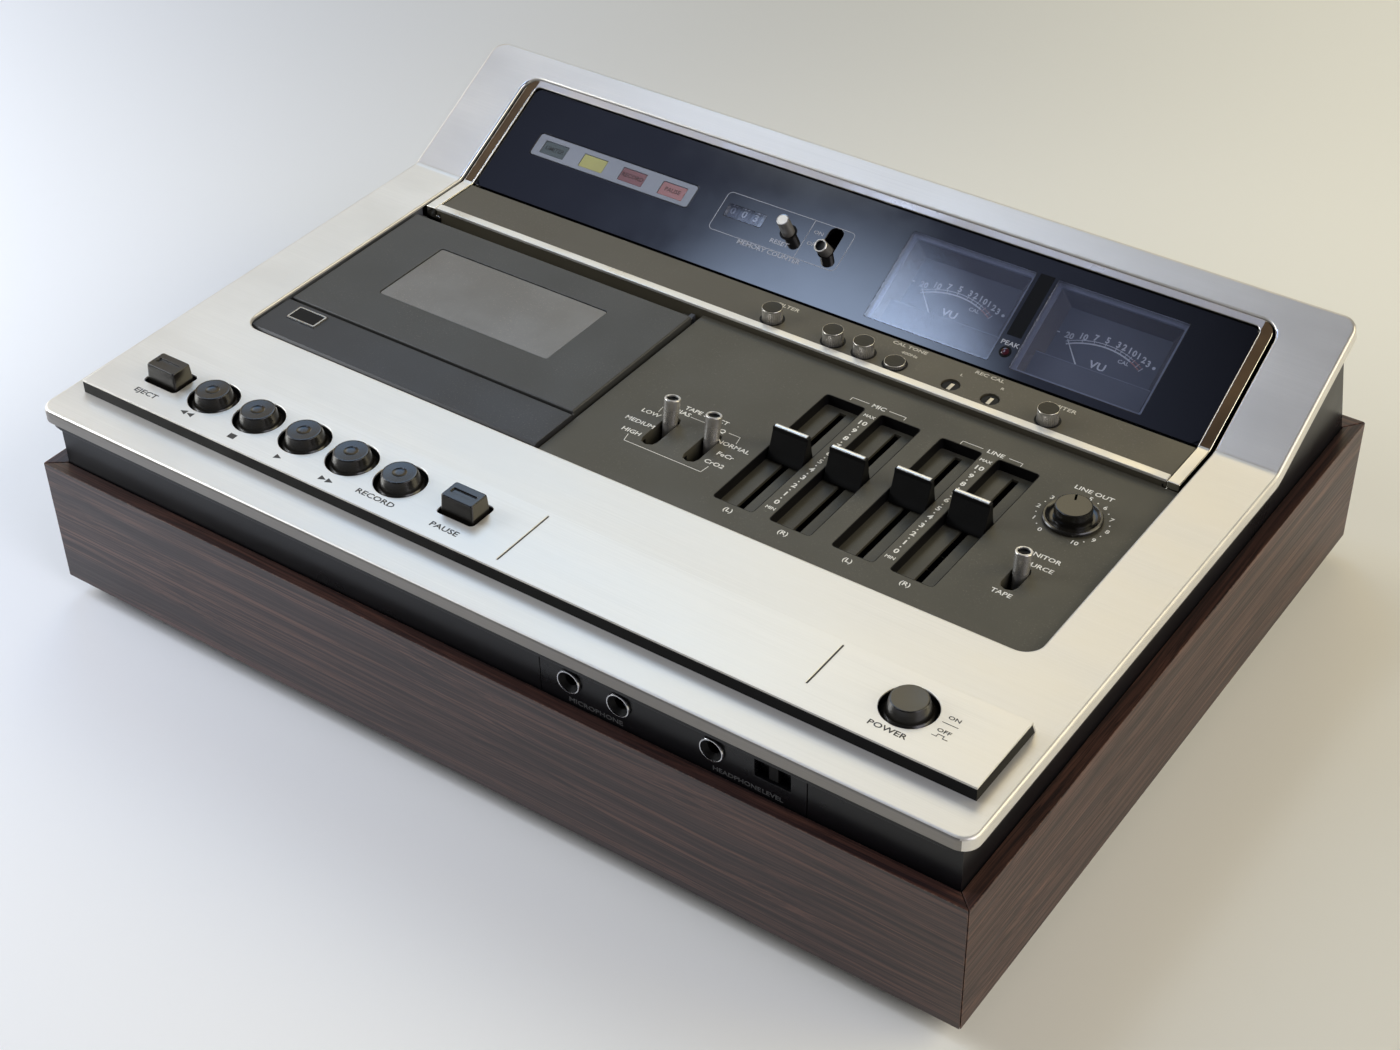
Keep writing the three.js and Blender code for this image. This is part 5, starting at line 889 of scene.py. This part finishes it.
def chromeLever(name, length, place, radius, waist, cup, pin):
    top = at(place, 0, 0, length)
    lever = turned("lever", [(0, -3), (waist, -3), (waist, length * 0.55), (radius, length - 3.2),
                             (radius, length - 0.25), (radius - 0.2, length), (cup + 0.1, length),
                             (cup, length - 0.1), (cup - 0.1, length - 1.3), (0, length - 1.3)], place, 48)
    bowl = turned("bowl", [(0, -1.35), (cup - 0.12, -1.35), (cup - 0.04, -0.5), (cup - 0.2, -0.5),
                           (cup - 0.35, -1.0), (cup * 0.6, -1.15), (0, -1.2)], top, 48)
    ring = turned("ring", [(cup, -0.3), (radius - 0.12, -0.3), (radius - 0.12, 0.05), (radius - 0.2, 0.12),
                           (cup + 0.08, 0.12), (cup, 0.04)], top, 48, True)
    pinR, pinHalf = pin
    cross = alongX("pin", circle(pinR, 24), -pinHalf, pinHalf, place)
    parts = [paint(lever, "satinChrome"), paint(cross, "satinChrome"), paint(bowl, "capBlack"),
             paint(ring, "ridgeMetal")]
    return shade(merge(name, parts), 30)


def buildToggles():
    t = toggle
    for name, (x, y, rise, lean) in t["places"].items():
        length = (rise + t["pivot"]) / math.cos(math.radians(lean))
        place = at(onDeck, x, y, deck["controlTop"] - t["pivot"], -lean)
        lever = chromeLever(name + "Lever", length, place, t["radius"], t["waist"], t["cup"], t["pin"])
        seat(lever, name + "_toggle", "chrome", "toggle_" + name)


knob = {"place": (162.8, 10.4, 84.8), "skirt": 11.7, "cap": 7.3, "height": 6.4, "pointer": 109.5,
        "shaft": (3.0, -9.0)}


def buildKnob():
    k = knob
    place = at(onDeck, *k["place"], 0, k["pointer"])
    (shaft, foot), r, c, h = k["shaft"], k["skirt"], k["cap"], k["height"]
    body = turned("body", [(0, foot), (shaft, foot), (shaft, 0), (r - 0.2, 0), (r, 0.25), (r - 0.1, 1.1),
                           (r - 0.45, 1.5), (r - 1.1, 1.5), (r - 1.5, 1.1), (9.3, 0.65), (8.4, 0.5),
                           (c + 0.4, 0.5), (c + 0.25, 1.4), (c, h - 0.5), (c - 0.12, h - 0.15), (c - 0.4, h),
                           (c - 0.7, h)], place, 80)
    top = turned("top", [(0, h - 1), (c - 0.65, h - 1), (c - 0.65, h - 0.02), (c - 0.9, h - 0.1),
                         (0, h - 0.14)], place, 80)
    line = prism("line", roundRect(c - 4.2, c - 0.35, -0.45, 0.45, 0.1, 2), h - 0.5, h, place)
    carve(top, [prism("room", roundRect(c - 4.25, c + 1, -0.5, 0.5, 0.1, 2), h - 0.55, h + 1, place)])
    parts = [paint(body, "keyBlack"), paint(top, "knobTop"), paint(line, "white")]
    seat(shade(merge("levelKnob", parts)), "level_knob", "key_black", "output_knob")


buildFaders()
lineSlots()
buildToggles()
buildKnob()
print("faders, toggles and knob done")

# Push buttons and screwdriver adjusters on the strip

stripButton = {"places": {"filter": (-5.6, 6.0), "noise_reduction": (24.81, 6.0), "fm_mode": (39.91, 6.0),
                          "cal_tone": (55.01, 1.6), "limiter": (126.2, 6.0)},
               "y": 57.5, "radius": 4.5, "length": 14.0, "flutes": 32, "shadowRingSize": (4.62, 5.5)}


def knurled(name, radius, low, high, place, flutes, depth=0.26):
    rings = []
    for z, cut, inset in ((low, 0, -0.35), (low + 0.35, 0, 0), (low + 0.7, 1, 0), (high - 0.75, 1, 0),
                          (high - 0.45, 0, 0), (high - 0.1, 0, -0.02), (high, 0, -0.1), (high, 0, -0.2),
                          (high - 0.3, 0, -0.24)):
        ring = []
        for i in range(flutes * 2):
            turn = math.pi * i / flutes
            r = radius + inset - (depth * cut if i % 2 else 0)
            ring.append((r * math.cos(turn), r * math.sin(turn), z))
        rings.append(ring)
    return loft(name, rings, place)


# Lays a dark ring round a part's base: painted shadow for the shade in the gap of the hole it stands in
def darkCollar(name, sizes, place):
    inner, outer = sizes
    profile = [(inner, -0.3), (outer, -0.3), (outer, 0.03), (outer - 0.04, 0.06), (inner, 0.06)]
    seat(shade(paint(turned(name, profile, place, 48, True), "sideBlack")), "deck", "key_black")


def buildStripButtons():
    s = stripButton
    faceR = s["radius"] - 0.27
    for name, (x, rise) in s["places"].items():
        place = at(onDeck, x, s["y"], deck["stripTop"])
        body = knurled("button", s["radius"], rise - s["length"], rise, place, s["flutes"])
        face = turned("face", [(0, rise - 0.28), (faceR, rise - 0.28), (faceR, rise - 0.06),
                               (s["radius"] - 0.9, rise - 0.12), (0, rise - 0.16)], place, 48)
        parts = [paint(body, "buttonMetal"), paint(face, "buttonFace")]
        seat(shade(merge(name + "Button", parts), 24), name + "_button", "chrome", "button_" + name)
        # painted shadow ring round the button's hole
        darkCollar(name + "ShadowRing", s["shadowRingSize"], place)


adjuster = {"places": {"left": 81.61, "right": 99.9}, "y": 57.5, "top": 86.7, "radius": 3.8, "length": 7.0,
            "slot": (1.9, 5.2, 0.9)}


def buildAdjusters():
    a = adjuster
    r, long, (slotWide, slotLong, deep) = a["radius"], a["length"], a["slot"]
    for side, x in a["places"].items():
        place = at(onDeck, x, a["y"], a["top"])
        body = turned("screw", [(0, -long), (r, -long), (r, -0.3), (r - 0.3, 0), (0, 0)], place, 48)
        carve(body, [prism("slot", rounded(slotWide, slotLong, 0.15, 2), -deep, 2, place)])
        floor = prism("floor", rounded(slotWide - 0.04, slotLong - 0.04, 0.15, 2), -deep - 0.3, -0.25, place)
        parts = [paint(body, "capBlack"), paint(floor, "buttonMetal")]
        seat(shade(merge(side + "Adjuster", parts)), "cal_%s_screw" % side, "key_black", "record_cal_" + side)


buildStripButtons()
buildAdjusters()
print("strip controls done")

# Level meters

meter = {"along": 27.4, "left": 56.45, "right": 126.35, "window": (59.7, 45.2), "behind": -4.3, "wall": 1.5,
         "height": 22.0, "dial": (47.0, 37.0, -0.9, 8.7), "cover": (19.5, 2.6, 1.0, 2.5), "pivot": 10.5,
         "needle": 26.5, "rest": 41.5, "arcCentre": (-1.2, -0.8), "arcRadius": 34.8, "post": 0.8, "hub": 2.0,
         "scale": (-29.2, 21.6, 30.6)}
# offsets from the window's middle, along the slope, measured on the dial
meterMarks = [("20", -17.85, 33.4), ("10", -12.15, 35.0), ("7", -6.95, 36.3), ("5", -1.85, 37.0),
              ("3", 3.25, 36.7), ("2", 5.95, 36.4), ("1", 8.75, 35.9), ("0", 11.05, 35.3), ("1", 13.25, 34.8),
              ("2", 15.95, 33.9), ("3", 18.45, 32.9)]


def arcBand(radius, width, start, end, base, low, steps=28):
    (x, y), high = meter["arcCentre"], low + inkThickness
    rings = []
    for i in range(steps + 1):
        turn = math.radians(start + (end - start) * i / steps)
        outer, inner = ((x + r * math.sin(turn), y + r * math.cos(turn)) for r in (radius + width / 2,
                                                                                 radius - width / 2))
        rings.append([outer + (low,), inner + (low,), inner + (high,), outer + (high,)])
    return loft("arc", rings, base)


def markDial(side, place, level):
    (cx, cs), r = meter["arcCentre"], meter["arcRadius"]
    first, zero, last = meter["scale"]
    white = [arcBand(r, 0.3, first, zero, place, level), arcBand(r - 1.35, 0.62, first, zero, place, level)]
    red = [arcBand(r, 0.3, zero, last, place, level, 8), arcBand(r - 1.35, 0.5, zero, last, place, level, 8)]
    for text, dx, s in meterMarks:
        turn = math.atan2(dx - cx, s - 1.6 - cs)
        tick = [(cx + reach * math.sin(turn), cs + reach * math.cos(turn)) for reach in (r - 1.6, r + 0.5)]
        white += stroke(tick, 0.24, place, level)
        white.append(letters(text, dx, s - 1.0, 2.8, place, level, 0.95, bold=0.04))
    white.append(letters("VU", -0.5, 23.4, 3.3, place, level, 1.2, bold=0.03))
    white.append(letters("CAL", 8.6, 28.8, 1.7, place, level, 1.1))
    white += stroke([(-24.4, 32.6), (-22.6, 32.6)], 0.4, place, level)
    white.append(dot(21.4, 31.0, 0.75, place, level))
    placeMarks(side + "MeterMarks", white, "dialInk", "meter_grey")
    placeMarks(side + "MeterRed", red, "redInk", "meter_grey")


def buildNeedle(side, low):
    m = meter
    place = at(onSlope, m[side], m["pivot"], low, 0, m["rest"])
    bore, r = m["post"] + 0.15, m["hub"]
    hub = turned("hub", [(bore, 0), (r, 0), (r, 1.3), (r - 0.2, 1.5), (bore, 1.5)], place, 32)
    arm = loft("arm", [[(-w, y, 0.2), (w, y, 0.2), (w, y, 0.2 + thick), (-w, y, 0.2 + thick)]
                       for y, w, thick in ((1.2, 0.42, 0.5), (16, 0.3, 0.4), (m["needle"], 0.2, 0.3))], place)
    parts = [paint(arm, "needleWhite"), paint(hub, "needleWhite")]
    seat(shade(merge(side + "Pointer", parts)), side + "_needle", "needle_white", "needle_" + side)


def buildMeter(side):
    m = meter
    place = at(onSlope, m[side], 0, 0)
    (wide, deep), mid, top = m["window"], m["along"], m["behind"]
    dialWide, dialDeep, shift, down = m["dial"]
    dial = top - down

    def window(inset, z):
        return raised(rounded(wide - 2 * inset, deep - 2 * inset, 0.8, 4, 0, mid), z)
    outside = rounded(wide + 2 * m["wall"], deep + 2 * m["wall"], 0.6, 4, 0, mid)
    shell = prism("shell", outside, top - m["height"], top, place)
    well = [raised(rounded(dialWide, dialDeep, 0.8, 4, 0, mid + shift), dial), window(1.3, top - 1.6),
            window(1.1, top - 0.9), window(0, top - 0.6), window(0, top + 1)]
    carve(shell, [loft("well", well, place)])
    face = prism("face", rounded(dialWide, dialDeep, 0.6, 4, 0, mid + shift), dial, dial + 0.12, place)
    coverTop, coverLift, coverThick, reach = m["cover"]
    coverLow, coverHigh, half = dial + coverLift, dial + coverLift + coverThick, dialWide / 2 + reach
    coverOutline = roundRect(-half, half, mid - deep / 2 + 0.4, coverTop, 0.4, 3)
    cover = soften(prism("cover", coverOutline, coverLow, coverHigh, place), 0.2, 2)
    edge = coverTop - 0.32
    lip = prism("lip", [(-half, edge), (half, edge), (half, coverTop), (-half, coverTop)], coverHigh,
                coverHigh + 0.1, place)
    post = prism("post", circle(m["post"], 24, 0, m["pivot"]), dial - 1, coverLow + 0.5, place)
    windowLip = loft("windowLip", [window(0, top - 0.6), window(0, top), window(1.7, top - 0.5),
                                   window(1.75, top - 1.6)], place, True)
    parts = [paint(shell, "meterCase"), paint(windowLip, "lipGrey"), paint(face, "dialFace"),
             paint(cover, "dialFace"), paint(lip, "frameGrey"), paint(post, "zinc")]
    seat(shade(merge(side + "Meter", parts)), "deck", "meter_grey", "meter_" + side)
    markDial(side, place, dial + 0.12)
    buildNeedle(side, dial + 0.3)


buildMeter("left")
buildMeter("right")
print("meters done")

# Indicator lights, tape counter, reset button, memory lever

indicator = {"middle": (-122.25, 30.5), "pitch": 22.3, "lens": (13.4, 7.0), "floor": -2.5, "top": -1.75,
             "lenses": [("Dark", (56, 66, 66), "LIMITER"), ("Yellow", (168, 164, 92), ""),
                        ("Brown", (112, 62, 62), "RECORD"), ("Salmon", (146, 94, 90), "PAUSE")]}


def lensFinish(name, colour):
    tree, skin = newFinish(name, Coat_Weight=0.5, Coat_Roughness=0.15)
    skinGrain = effect(tree, "grain", Grains_per_metre=500.0)
    tree.links.new(mixColour(tree, skinGrain["Patch"], times(colour, 0.8), colour), skin.inputs["Base Color"])
    roughness(tree, skin, skinGrain["Grain"], 0.35, 0.55)
    bump(tree, skin, skinGrain["Grain"], 0.1, 0.05)


def buildIndicator():
    i = indicator
    (middle, along), (wide, deep) = i["middle"], i["lens"]
    for index, (name, colour, word) in enumerate(i["lenses"]):
        x = middle + (index - 1.5) * i["pitch"]
        outline = rounded(wide - 0.3, deep - 0.3, 0.3, 3, x, along)
        lens = soften(prism("lens" + name, outline, i["floor"], i["top"], onSlope), 0.12, 2)
        lensFinish("lens" + name, tone(*colour))
        seat(shade(paint(lens, "lens" + name)), "deck", "meter_grey")
        if word:
            printed("ink" + name, tone(*(c * 0.55 for c in colour)))
            placeMarks("lensWord" + name, written([(word, x, along, 2.1)], onSlope, i["top"], 1.0),
                       "ink" + name, "meter_grey")


counter = {"middle": -51.9, "along": 32.6, "axis": -14.7, "pitch": 6.15, "wide": 5.6, "radius": 9.0,
           "bore": 1.65, "wheels": {"hundreds": (-1, 0), "tens": (0, 0), "units": (1, 3)}}


def buildWheels():
    c = counter
    r, half = c["radius"], c["wide"] / 2
    side = [(c["bore"], half), (r - 0.9, half), (r - 0.8, half - 0.35), (r - 0.15, half - 0.35),
            (r, half - 0.5)]
    rings = [[(x, y, z) for y, z in circle(reach, 60)]
             for reach, x in [(reach, -x) for reach, x in side] + side[::-1]]
    for name, (place, shown) in c["wheels"].items():
        hub = at(onSlope, c["middle"] + place * c["pitch"], c["along"], c["axis"])
        parts = [paint(loft("wheel", rings, hub, True), "wheelBlack")]
        for digit in range(10):
            glyph = letters(str(digit), 0, 0, 3.5, Matrix.Identity(4), 0, 1.05, bold=0.035)
            turn = math.radians(-1.0 + 36 * (digit - shown))
            for vert in glyph.data.vertices:
                around = turn + vert.co.y / (r * mm)
                out = r * mm + max(vert.co.z, 0) + 0.00001
                vert.co = Vector((vert.co.x, out * math.sin(around), out * math.cos(around)))
            glyph.matrix_world = hub
            parts.append(paint(glyph, "dialInk"))
        seat(shade(merge(name + "Wheel", parts), 28), name + "_wheel", "wheel_black", "counter_wheel_" + name)


resetShape = {"top": 8.5, "length": 24.0, "radius": 2.85, "shadowRingSize": (2.95, 4.0)}
memoryShape = {"place": (-5.3, 31.65, -20.0, 13.2), "length": 26.1, "radius": 3.0, "cup": 2.3,
               "pin": (1.2, 4.8)}


def buildResetAndMemory():
    x, along, _ = smoked["reset"]
    long, r = resetShape["length"], resetShape["radius"]
    place = at(onSlope, x, along, resetShape["top"])
    body = turned("plunger", [(0, -long), (r, -long), (r, -0.35), (r - 0.12, -0.08), (r - 0.4, 0), (0, 0)],
                  place, 48)
    cap = turned("cap", [(0, -0.1), (r - 0.5, -0.1), (r - 0.6, 0), (0, 0.02)], place, 48)
    parts = [paint(body, "satinChrome"), paint(cap, "white")]
    seat(shade(merge("resetButton", parts), 30), "reset_plunger", "chrome", "counter_reset")
    # painted shadow ring round the reset plunger's hole
    darkCollar("resetShadowRing", resetShape["shadowRingSize"], at(onSlope, x, along, -smoked["drop"]))
    m = memoryShape
    place = at(onSlope, *m["place"])
    lever = chromeLever("memoryLever", m["length"], place, m["radius"], m["radius"], m["cup"], m["pin"])
    seat(lever, "memory_switch", "chrome", "memory_lever")


buildIndicator()
buildWheels()
buildResetAndMemory()
print("counter and lights done")

# Jacks

jack = {"places": {"mic_left": 49.79, "mic_right": 72.0, "headphones": 112.5}, "y": -157.0, "z": 70.2,
        "ring": 5.1, "thick": 1.0, "bore": 3.2, "barrel": 4.2, "length": 20.0}


# The rings of a jack are turned about the axis that points back into the deck
def buildJacks():
    j = jack
    bore, edge, barrel, long, lip = j["bore"], j["ring"], j["barrel"], j["length"], j["ring"] - 0.62
    rim = [(bore, long), (bore, 1.1), (lip, -0.5), (lip + 0.05, -j["thick"]), (edge - 0.2, -j["thick"]),
           (edge, -0.7), (edge, 0), (barrel, 0), (barrel, long)]
    cone = [(bore - 0.02, 19), (bore - 0.02, 1.07), (lip - 0.03, -0.56), (lip - 0.25, -0.56), (bore - 0.7, 1),
            (bore - 0.7, 19)]
    for name, x in j["places"].items():
        place = at(onDeck, x, j["y"], j["z"])
        parts = []
        for profile, steps, finish in ((rim, 48, "chrome"), (cone, 40, "sideBlack")):
            rings = [[(px, depth, pz) for px, pz in circle(r, steps)] for r, depth in profile]
            parts.append(paint(loft("ring", rings, place, True), finish))
        seat(shade(merge(name + "Jack", parts), 30), "deck", "chrome", "jack_" + name)


buildJacks()
print("jacks done")

# Marks

lineWidth = 0.26
wordsOnPlate = [("EJECT", -180.8, -136.0, 2.6), ("RECORD", -57.5, -136.7, 2.6), ("PAUSE", -23.5, -136.6, 2.6),
                ("POWER", 170.2, -136.6, 2.4), ("ON", 186.8, -119.8, 1.7), ("OFF", 186.8, -127.0, 1.7)]
wordsOnControls = [("MIC", 63.9, 31.0), ("LINE", 118.4, 30.0), ("(L)", 51.1, -58.0), ("(R)", 76.3, -58.0),
                   ("(L)", 105.3, -58.3), ("(R)", 130.1, -58.0), ("LINE OUT", 162.3, 28.8),
                   ("MONITOR", 163.3, -16.1), ("SOURCE", 164.9, -22.2), ("TAPE", 161.8, -42.8),
                   ("TAPE SELECT", 9.2, -12.1), ("BIAS", 0.0, -15.8), ("EQ", 19.4, -17.3),
                   ("LOW", -10.8, -23.0), ("MEDIUM", -10.8, -30.5), ("HIGH", -10.0, -37.4),
                   ("NORMAL", 29.8, -23.6),
                   ("FeCr", 30.6, -30.2), ("CrO2", 29.9, -36.9)]
linesOnControls = [[(51.2, 29.4), (51.2, 31.3), (59.0, 31.3)], [(68.8, 31.3), (76.6, 31.3), (76.6, 29.4)],
                   [(103.4, 28.3), (103.4, 30.3), (112.4, 30.3)],
                   [(124.4, 30.3), (130.4, 30.3), (130.4, 28.3)],
                   [(-4.6, -16.6), (-9.2, -16.9), (-8.7, -20.6)], [(4.4, -16.4), (15.6, -16.4)],
                   [(23.4, -16.9), (28.7, -16.9), (29.7, -21.2)],
                   [(-10.0, -39.6), (-9.0, -43.8), (28.5, -44.0), (29.0, -39.6)]]
wordsOnStrip = [("FILTER", -4.7, 68.6, 2.2), ("CAL TONE", 54.2, 71.2, 2.0), ("400Hz", 56.6, 66.6, 1.7),
                ("REC CAL", 92.2, 71.0, 2.0), ("LIMITER", 126.9, 68.1, 2.2), ("L", 82.0, 65.8, 1.5),
                ("R", 100.7, 66.4, 1.5)]
wordsOnGlass = [("PEAK", 91.7, 15.1, 2.1), ("RESET", -27.4, 23.6, 2.1), ("MEMORY COUNTER", -29.7, 17.8, 2.1),
                ("ON", -12.9, 34.2, 1.8), ("OFF", -12.9, 28.2, 1.8)]


def triangle(x, y, direction, low, size=3.1):
    ends = [(-size * 0.5 * direction, -size * 0.45), (size * 0.5 * direction, 0),
            (-size * 0.5 * direction, size * 0.45)]
    return shape(ends[::direction], x, y, onDeck, low)


def plateMarks():
    low = deck["plateTop"]
    parts = written(wordsOnPlate, onDeck, low, 1.28)
    for x, y, direction in ((-159.0, -136.7, -1), (-155.5, -136.7, -1), (-106.3, -138.1, 1),
                            (-82.5, -138.6, 1), (-79.0, -138.6, 1)):
        parts.append(triangle(x, y, direction, low))
    parts.append(shape([(-1.7, -1.4), (1.7, -1.4), (1.7, 1.4), (-1.7, 1.4)], -131.0, -138.0, onDeck, low))
    for x, y, high in ((186.8, -122.9, 0.0), (186.8, -130.2, 1.3)):
        parts += stroke([(x - 3, y), (x - 1.2, y), (x - 1.2, y + high), (x + 1.2, y + high), (x + 1.2, y),
                         (x + 3, y)], lineWidth, onDeck, low)
    placeMarks("plateMarks", parts, "darkInk", "top_aluminium")


def controlMarks():
    low = deck["controlTop"]
    parts = [letters(text, x, y, 2.3 if len(text) < 9 else 2.2, onDeck, low, 1.15)
             for text, x, y in wordsOnControls]
    for line in linesOnControls:
        parts += stroke(line, lineWidth, onDeck, low)
    for x in (63.8, 117.4):
        parts += written([("MIN", x, -47.8, 1.7), ("MAX", x, 23.7, 1.7)], onDeck, low, 1.0)
        for step in range(11):
            y = -43.4 + 6.18 * step
            parts.append(letters(str(step), x, y, 2.6, onDeck, low, 1.15, bold=0.03))
            if step < 10:
                parts.append(dot(x, y + 3.09, 0.36, onDeck, low))
    x, y, _ = knob["place"]
    for step in range(11):
        turn = math.radians(-120 - 30 * step)
        alongside = (x + 14.6 * math.cos(turn), y + 14.6 * math.sin(turn))
        parts.append(letters(str(step), *alongside, 2.2, onDeck, low, 1.1))
        if step < 10:
            turn -= math.radians(15)
            parts.append(dot(x + 14.2 * math.cos(turn), y + 14.2 * math.sin(turn), 0.32, onDeck, low))
    placeMarks("controlMarks", parts, "creamInk", "panel_olive")


bareBadge = {"place": (-172.4, -50.7), "size": (15.4, 8.9), "rim": 0.75, "low": 86.9, "high": 87.25}


def buildBadge():
    b = bareBadge
    (wide, deep), rim, low, high = b["size"], b["rim"], b["low"], b["high"]
    inner = rounded(wide - 2 * rim, deep - 2 * rim, 0.4, 3, *b["place"])
    edge = prism("badgeRim", rounded(wide, deep, 0.8, 4, *b["place"]), low, high)
    carve(edge, [prism("room", inner, low - 1, high + 1)])
    face = prism("badgeFace", inner, low, high - 0.1)
    parts = [paint(soften(edge, 0.1, 2), "buttonMetal"), paint(face, "sideBlack")]
    seat(shade(merge("bareBadge", parts)), "deck", "lid_grey")


def glassMarks():
    low = -smoked["drop"]
    parts = written(wordsOnGlass, onSlope, low, 1.2)
    parts += stroke(roundRect(-62.7, 3.35, 19.3, 39.65, 2.2, 5), lineWidth, onSlope, low, closed=True)
    parts += stroke([(-17.4, 19.3), (-17.4, 39.65)], lineWidth, onSlope, low)
    placeMarks("glassMarks", parts, "glassInk", "meter_glass")
    bar = prism("meterBar", roundRect(88.0, 94.8, 18.9, 50.2, 0.3, 2), low, low + 0.05, onSlope)
    seat(paint(bar, "barBlack"), "deck", "meter_glass")


def frontMarks():
    base = onDeck @ Matrix.Translation((0, -156.7 * mm, 0)) @ Matrix.Rotation(math.pi / 2, 4, "X")
    parts = written([("MICROPHONE", 61.0, 61.0, 2.1)], base, 0.0, 1.25)
    parts += written([("HEADPHONE", 122.5, 61.0, 2.0), ("LEVEL", 137.5, 61.0, 2.0)], base, 0.0, 1.2)
    parts += written([(text, 133.5 + 4.0 * i, 77.8, 1.4) for i, text in enumerate("LMH")], base, 0.0, 1.0)
    placeMarks("frontMarks", parts, "dimInk", "body_black")


plateMarks()
controlMarks()
buildBadge()
placeMarks("stripMarks", written(wordsOnStrip, onDeck, deck["stripTop"], 1.2), "stripInk", "panel_olive")
glassMarks()
frontMarks()
print("marks done")

# Camera, floor and light

camera = {"place": (459.636, -640.891, 652.719), "azimuth": 35.897, "elevation": 38.503, "roll": -1.284,
          "lens": 60.806}


def buildCamera():
    c = camera
    az, el, roll = (math.radians(c[k]) for k in ("azimuth", "elevation", "roll"))
    back = Vector((math.sin(az) * math.cos(el), -math.cos(az) * math.cos(el), math.sin(el)))
    right = (-back).cross(Vector((0, 0, 1))).normalized()
    up = right.cross(-back)
    side = right * math.cos(roll) + up * math.sin(roll)
    top = -right * math.sin(roll) + up * math.cos(roll)
    lens = bpy.data.cameras.new("camera")
    lens.sensor_width = 36
    lens.lens = c["lens"]
    lens.clip_start = 0.01
    seen = bpy.data.objects.new("camera", lens)
    bpy.context.scene.collection.objects.link(seen)
    turn = Matrix((side, top, back)).transposed().to_4x4()
    seen.matrix_world = Matrix.Translation(Vector(c["place"]) * mm) @ turn
    bpy.context.scene.camera = seen


def buildFloor(half=4000.0):
    floor = meshObject("floor", [(-half, -half, 0), (half, -half, 0), (half, half, 0), (-half, half, 0)],
                       [(0, 1, 2, 3)], Matrix.Identity(4))
    tree, skin = newFinish("paleFloor", Specular_IOR_Level=0.1, Roughness=0.9)
    where = objectPlace(tree)
    drift = noise(tree, scaled(tree, where, 1.6), 2, 0.5)
    # Painted light: the floor's colour goes from a cool tint on the left to a warm one on the right, for
    # bluish and warm light; the drift is random tone
    side = spread(tree, combineVectors(tree, "DOT_PRODUCT", where, (0.81, 0.59, 0)), -0.45, 0.4)
    coolLightTint = mixColour(tree, drift, tone(236, 240, 248), tone(243, 246, 252))
    warmLightTint = mixColour(tree, drift, tone(242, 238, 220), tone(247, 243, 226))
    # Painted shadow: darker towards a spot behind the deck, down to 0.70 at its middle
    away = spread(tree, combineVectors(tree, "DISTANCE", where, (-0.42, 0.46, 0)), 0.10, 0.60)
    paintedShadow = addNode(tree, "ShaderNodeMapRange", [("Value", away), ("To Min", 0.70)]).outputs[0]
    base = scaleVector(tree, mixColour(tree, side, coolLightTint, warmLightTint), paintedShadow)
    tree.links.new(base, skin.inputs["Base Color"])
    paint(floor, "paleFloor")


# Soft lights far off: azimuth from +Y towards +X, height, inner and outer radius in degrees
world = {"low": (0.11, 0.11, 0.11), "high": (0.05, 0.05, 0.06),
         "lights": [(-104, 63, 1.5, 5.5, (0.79, 1.0, 1.38), 6.8),
                    (-104, 62, 0.5, 14, (0.52, 0.62, 1.0), 0.80), (-82, 62, 2.0, 5.5, (0.93, 1.0, 1.0), 3.6),
                    (-24, 42, 3, 18, (1.0, 0.87, 0.58), 2.16), (-62, 30, 4, 25, (1.0, 0.72, 0.3), 0.70),
                    (-78, 12, 3, 16, (1.0, 1.0, 1.05), 2.8), (105, 58, 2, 9, (1.0, 1.0, 1.0), 2.0)]}


def towards(azimuth, height):
    az, el = math.radians(azimuth), math.radians(height)
    return Vector((math.sin(az) * math.cos(el), math.cos(az) * math.cos(el), math.sin(el)))


def buildWorld():
    scene = bpy.context.scene
    scene.world = bpy.data.worlds.new("studio")
    scene.world.use_nodes = True
    tree = scene.world.node_tree
    tree.nodes.clear()
    look = addNode(tree, "ShaderNodeTexCoord").outputs["Generated"]
    up = addNode(tree, "ShaderNodeSeparateXYZ", [(0, look)]).outputs["Z"]
    sky = mixColour(tree, spread(tree, up, 0.3, 0.8), world["low"] + (1,), world["high"] + (1,))
    for azimuth, height, inner, outer, colour, power in world["lights"]:
        near = combineVectors(tree, "DOT_PRODUCT", look, towards(azimuth, height))
        share = spread(tree, near, math.cos(math.radians(outer)), math.cos(math.radians(inner)))
        sky = combineVectors(tree, "ADD", sky, scaleVector(tree, [c * power for c in colour], share))
    shine = addNode(tree, "ShaderNodeBackground", [("Color", sky)]).outputs[0]
    tree.links.new(shine, addNode(tree, "ShaderNodeOutputWorld").inputs[0])


lamps = {"rear": {"aim": (-48, 48), "away": 3.0, "size": 1.2, "power": 8.8, "colour": (0.25, 0.55, 1.0)},
         "right": {"aim": (100, 32), "away": 3.0, "size": 2.0, "power": 31, "colour": (0.92, 0.90, 1.0)},
         "back": {"aim": (60, 30), "away": 3.0, "size": 2.0, "power": 37, "colour": (1.0, 0.90, 0.62)},
         "pool": {"aim": (-112, 30), "away": 1.2, "size": 0.6, "power": 8.7, "colour": (0.94, 0.97, 1.0)}}


def buildLamps():
    for name, lamp in lamps.items():
        light = bpy.data.lights.new(name, "AREA")
        light.shape = "DISK"
        light.size = lamp["size"]
        light.energy = lamp["power"]
        light.color = lamp["colour"]
        aim = towards(*lamp["aim"])
        obj = bpy.data.objects.new(name, light)
        bpy.context.scene.collection.objects.link(obj)
        turn = aim.to_track_quat("Z", "Y").to_matrix().to_4x4()
        obj.matrix_world = Matrix.Translation(aim * lamp["away"]) @ turn


bpy.context.scene.view_settings.view_transform = "Standard"
buildCamera()
buildFloor()
buildWorld()
buildLamps()
print("stage, camera and lights done")
